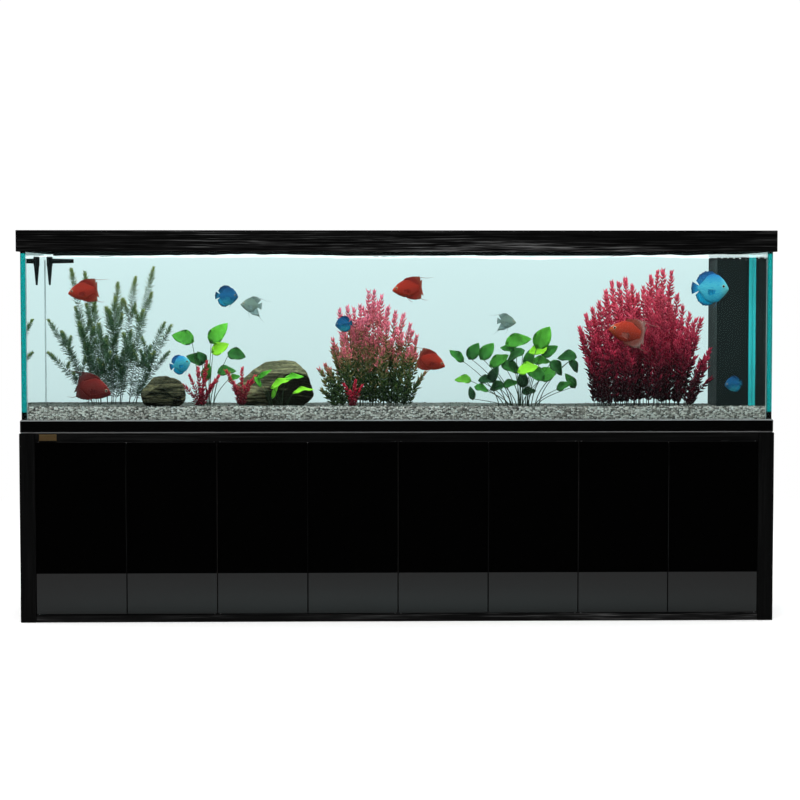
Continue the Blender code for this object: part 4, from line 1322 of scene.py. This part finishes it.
def block(name, low, high, material, body=BODY):
    """A closed box from low to high, with eased edges."""
    shape = bmesh.new()
    size = Vector(high) - Vector(low)
    place = Matrix.Translation((Vector(low) + Vector(high)) / 2) @ Matrix.Diagonal((*size, 1))
    bmesh.ops.create_cube(shape, size=1.0, matrix=place)
    bmesh.ops.bevel(shape, geom=shape.edges, offset=min(size) * 0.25, segments=2, affect="EDGES", profile=0.6)
    piece(name, finished(shape, bpy.data.meshes.new(name), smooth=False), [material], body=body)


def make_door_seals():
    """A dust strip behind each pair of doors, which rides with the right-hand one."""
    rubber = moulded("black_rubber", (0.006, 0.006, 0.006), 0.6)
    for right in (2, 4, 6, 8):
        door = f"door_{right}"
        low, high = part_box(door)
        start = (low.x - 0.009, high.y + 0.0004, low.z + 0.004)
        end = (low.x + 0.012, high.y + 0.0024, high.z - 0.004)
        block(f"door_seal_{right}", start, end, rubber, door)


SEAM_GAP, SEAM_END = 0.0009, 0.0034  # where a seam starts and ends, from the panes


def make_seams():
    """The silicone in the four upright corners of the tank. Its pale grey is partly the beads' own colour and
    partly a painted highlight.
    """
    dark, light = (0.42, 0.46, 0.46), (0.62, 0.66, 0.66)
    values = {"Transmission_Weight": 0.25, "Roughness": 0.3, "IOR": 1.4}
    material = speckled("silicone", dark, light, (30.0, 30.0, 9.0), **values)
    low_z, high_z = INNER_LOW.z + 0.002, WATER_LEVEL - 0.012
    for x, side, across in ((INNER_LOW.x, 1, "left"), (INNER_HIGH.x, -1, "right")):
        for y, front, along in ((INNER_LOW.y, 1, "front"), (INNER_HIGH.y, -1, "back")):
            xs = sorted((x + side * SEAM_GAP, x + side * SEAM_END))
            ys = sorted((y + front * SEAM_GAP, y + front * SEAM_END))
            low, high = (xs[0], ys[0], low_z), (xs[1], ys[1], high_z)
            block(f"silicone_{across}_{along}", low, high, material)


def make_overflow_edge():
    """The blue-green strip along the overflow box's front edge. Its teal is painted light: the look of light
    seen through a glass edge.
    """
    dark, light = (0.02, 0.38, 0.39), (0.03, 0.50, 0.51)
    values = {"Roughness": 0.25, "Specular_IOR_Level": 0.2}
    material = speckled("glass_edge", dark, light, (40.0, 40.0, 3.0), **values)
    front = OVERFLOW_LOW.y - 0.0052
    low = (INNER_HIGH.x - 0.0146, front, GRAVEL_Z - 0.02)
    high = (INNER_HIGH.x - 0.0005, front + 0.0048, OVERFLOW_HIGH.z - 0.004)
    block("overflow_edge_strip", low, high, material)


def make_stones():
    look = stone_look("olive_stone", srgb(30, 28, 20), srgb(112, 104, 76), tilt=0.35, top_light=0.12)
    outline = ((-1.0, 0.75), (-0.5, 0.98), (0.2, 1.0), (0.7, 0.90), (1.0, 0.80))
    cuts = (
        ((-0.8, -0.5, 0.75), 0.78),
        ((0.5, -0.7, 0.5), 0.84),
        ((0.9, -0.2, 0.1), 0.88),
        ((-0.2, -1.0, -0.1), 0.86),
    )
    make_stone("dark_stone", "stone_small", outline, cuts, [look], seed=2.0, square=2.2)
    look = stone_look("banded_stone", srgb(58, 54, 39), srgb(150, 142, 106), tilt=0.06, top_light=0.25)
    outline = ((-1.0, 0.30), (-0.6, 0.66), (-0.25, 0.93), (0.05, 1.0), (0.55, 1.0), (0.8, 0.86), (1.0, 0.50))
    cuts = (
        ((0.55, -0.85, -0.25), 0.74),
        ((-0.5, -0.8, 0.4), 0.84),
        ((0.1, -0.4, 0.9), 0.86),
        ((1.0, 0.1, 0.2), 0.93),
    )
    make_stone("banded_stone", "stone_large", outline, cuts, [look], seed=5.0, square=2.5)


# --------------------------------------------------------------------------- CAD finishes


def dress_frame():
    """Gives each CAD node that stays in sight its procedural material."""
    across = black_wood("black_wood_across", along=0, grain_and_light_gain=1.1)
    hood = black_wood("black_wood_hood", along=0, grain_and_light_gain=1.1, pale_edge=HOOD_UNDER)
    # painted shade: the uprights and the top rail get darker streaks than the boards across
    upright = black_wood("black_wood_upright", along=2, grain_and_light_gain=0.20)
    rail = black_wood("black_wood_rail", along=0, grain_and_light_gain=0.45)
    pane = glass("float_glass", (0.0, 0.80, 0.795), 8.0)
    thin_pane = glass("sump_glass", (0.3, 0.9, 0.9), 3.0)
    doors = door_gloss("door_acrylic")
    board = raw_board("laminated_board")
    black = moulded("black_plastic", (0.0125, 0.0165, 0.016), 0.60, 0.2, 0.03)
    grey = moulded("grey_plastic", (0.28, 0.29, 0.30), 0.45)
    steel = brushed_metal("bright_steel", (0.60, 0.60, 0.61), 0.28, 2)
    finishes = {
        rail: ["top_rail"],
        across: ["floor_board", "back_panel", "hood_lid_left", "hood_lid_right"],
        hood: ["hood_frame"],
        upright: ["end_panel_left", "end_panel_right"],
        pane: [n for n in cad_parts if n.startswith("glass_")],
        thin_pane: ["sump_tank", "sump_baffle"],
        doors: [f"door_{k}" for k in range(1, 9)],
        board: ["deck_board", "partition_left", "partition_middle", "partition_right"],
        black: ["overflow_box", "return_nozzle", "return_pipe", "return_pump"],
        grey: ["drain_pipe", "valve_body"],
        steel: [f"door_pivot_rod_{k}" for k in range(1, 9)] + ["lid_hinge_rod"],
        trim_gloss("trim_strip"): ["base_trim"],
        brushed_metal("plate_brass", (0.66, 0.44, 0.20), 0.34): ["name_plate"],
        moulded("lever_red", (0.42, 0.02, 0.02), 0.32): ["valve_handle"],
        moulded("heater_tube", (0.035, 0.036, 0.040), 0.14): ["heater"],
        foam_block("filter_foam"): ["filter_sponge"],
        lamp_cover("lamp_diffuser"): ["light_bar_front", "light_bar_back"],
    }
    for material, nodes in finishes.items():
        for node in nodes:
            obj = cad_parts[node]
            obj.data.materials.clear()
            obj.data.materials.append(material)


# --------------------------------------------------------------------------- studio


def world_light():
    """Pale all round. Mirrors see a dark front and a bright ceiling, as in a tent with black flags."""
    world = bpy.data.worlds.new("studio")
    SCENE.world = world
    world.use_nodes = True
    sky = Nodes(world.node_tree)
    path = sky.add("LightPath").outputs
    way = sky.add("TexCoord").outputs["Generated"]
    ceiling = sky.span(sky.split(way, 2), 0.72, 0.95, 0.0, 1.3)
    sides = sky.span(sky.math("ABSOLUTE", sky.split(way, 0)), 0.85, 0.97, 0.0, 0.30)
    behind = sky.span(sky.split(way, 1), 0.35, 0.8, 0.0, 0.5)
    mirrored = sky.math("MAXIMUM", sky.math("MAXIMUM", ceiling, sides), behind)
    bounced = sky.math("SUBTRACT", path["Is Glossy Ray"], path["Is Transmission Ray"], clamp=True)
    seen = sky.math("MAXIMUM", path["Is Camera Ray"], path["Is Transmission Ray"])
    rising = sky.math("ADD", sky.span(sky.split(way, 2), 0.0, 0.012, 0.0, 0.035), 1.0)
    strength = sky.blend(bounced, sky.blend(seen, 1.35, rising), mirrored)
    background = sky.nodes["Background"]
    background.inputs["Color"].default_value = shade(1.0)
    sky.put(background.inputs["Strength"], strength)


GLOW_FROM = 1.9  # how far from the middle the floor starts to glow


def floor_material():
    """Pale floor that turns into an even glow far from the object, so that it has no horizon.

    The camera sees the glow at full strength; to other rays it is weaker nearer the middle.
    """
    look = Look("pale_floor", Roughness=0.9, Specular_IOR_Level=0.0, Emission_Strength=0.24)
    look.to("Emission Color", 1.0)
    speckle = look.noise(30.0, 2.0)
    look.to("Base Color", look.ramp(speckle, (0.3, 0.90), (0.7, 0.93)))
    distance = look.vector_math("LENGTH", look.place)
    rolled = look.math("SUBTRACT", 1.0, look.math("DIVIDE", GLOW_FROM, distance))
    glow = look.add("Emission")
    seen = look.add("LightPath").outputs["Is Camera Ray"]
    look.put(glow.inputs["Strength"], look.math("MAXIMUM", rolled, seen))
    look.surface(look.span(distance, GLOW_FROM, 5.0), look.shader.outputs[0], glow.outputs[0])
    return look.material


def flat_piece(name, low, high, z, material):
    mesh = bpy.data.meshes.new(name)
    corners = [(low[0], low[1], z), (high[0], low[1], z), (high[0], high[1], z), (low[0], high[1], z)]
    mesh.from_pydata(corners, [], [(0, 1, 2, 3)])
    mesh.materials.append(material)
    obj = bpy.data.objects.new(name, mesh)
    SCENE.collection.objects.link(obj)
    return obj


def lamp(name, at, aim, size, size_y, power, spread=180):
    """An area lamp that looks at a point. spread is how wide its beam is, in degrees."""
    data = bpy.data.lights.new(name, "AREA")
    data.shape = "RECTANGLE"
    data.size, data.size_y, data.energy = size, size_y, power
    data.spread = math.radians(spread)
    obj = bpy.data.objects.new(name, data)
    obj.location = at
    obj.rotation_euler = (Vector(aim) - Vector(at)).to_track_quat("-Z", "Y").to_euler()
    SCENE.collection.objects.link(obj)
    return obj


NEAR_FLOOR = 1.42  # how far the dim floor that shows in the doors reaches in front of them
FAR_FLOOR = 400.0


def make_studio():
    world_light()
    reach = NEAR_FLOOR - FRONT_Y
    dim = speckled("dim_floor", 0.50, 0.54, 30.0, 2.0, Roughness=0.9, Specular_IOR_Level=0.0)
    near = flat_piece("near_floor", (-6.0, -reach), (6.0, reach), -0.0004, dim)
    near.visible_camera = near.visible_diffuse = near.visible_transmission = near.visible_shadow = False
    far = flat_piece("far_floor", (-FAR_FLOOR, -FAR_FLOOR), (FAR_FLOOR, FAR_FLOOR), -0.0012, floor_material())
    far.visible_glossy = False
    middle_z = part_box("light_bar_front")[0].z - 0.004
    for side in (-1, 1):
        x, y = side * 0.73, -0.03
        tube = lamp(f"hood_lamp_{side}", (x, y, middle_z), (x, y, 0), 1.40, 0.40, power=24.0, spread=115)
        tube.visible_camera = tube.visible_glossy = tube.visible_transmission = False
    front = lamp("front_fill", (-2.0, -6.0, 3.6), (0, 0, 1.2), 3.0, 2.0, power=50.0)
    front.visible_glossy = False


def make_camera():
    """Far in front, a little left of the middle and level with the upper half of the tank."""
    data = bpy.data.cameras.new("camera")
    data.lens = 94.65
    data.sensor_width = 36.0
    data.clip_end = 1000.0
    camera = bpy.data.objects.new("camera", data)
    camera.location = (-0.181, -8.711, 1.342)
    camera.rotation_euler = (math.radians(90 - 3.140), 0, math.radians(-1.296))
    SCENE.collection.objects.link(camera)
    SCENE.camera = camera


dress_frame()
make_gravel()
make_loose_pebbles()
make_stones()
make_needle_plant()
make_pink_bush()
make_crimson_bush()
broad_stalk = stalk_look("leaf_stalk", (34, 52, 30), (70, 100, 60), 0.33)
make_broad_plants(broad_stalk)
make_sprigs()
make_front_plant(broad_stalk)
make_fish()
make_water()
make_door_seals()
make_seams()
make_overflow_edge()
make_studio()
make_camera()

SCENE.view_settings.view_transform = "Standard"
SCENE.cycles.use_denoising = True
SCENE.cycles.max_bounces = 24
SCENE.cycles.diffuse_bounces = 3
SCENE.cycles.glossy_bounces = 12
SCENE.cycles.transmission_bounces = 20
SCENE.cycles.transparent_max_bounces = 24
SCENE.cycles.sample_clamp_indirect = 4.0
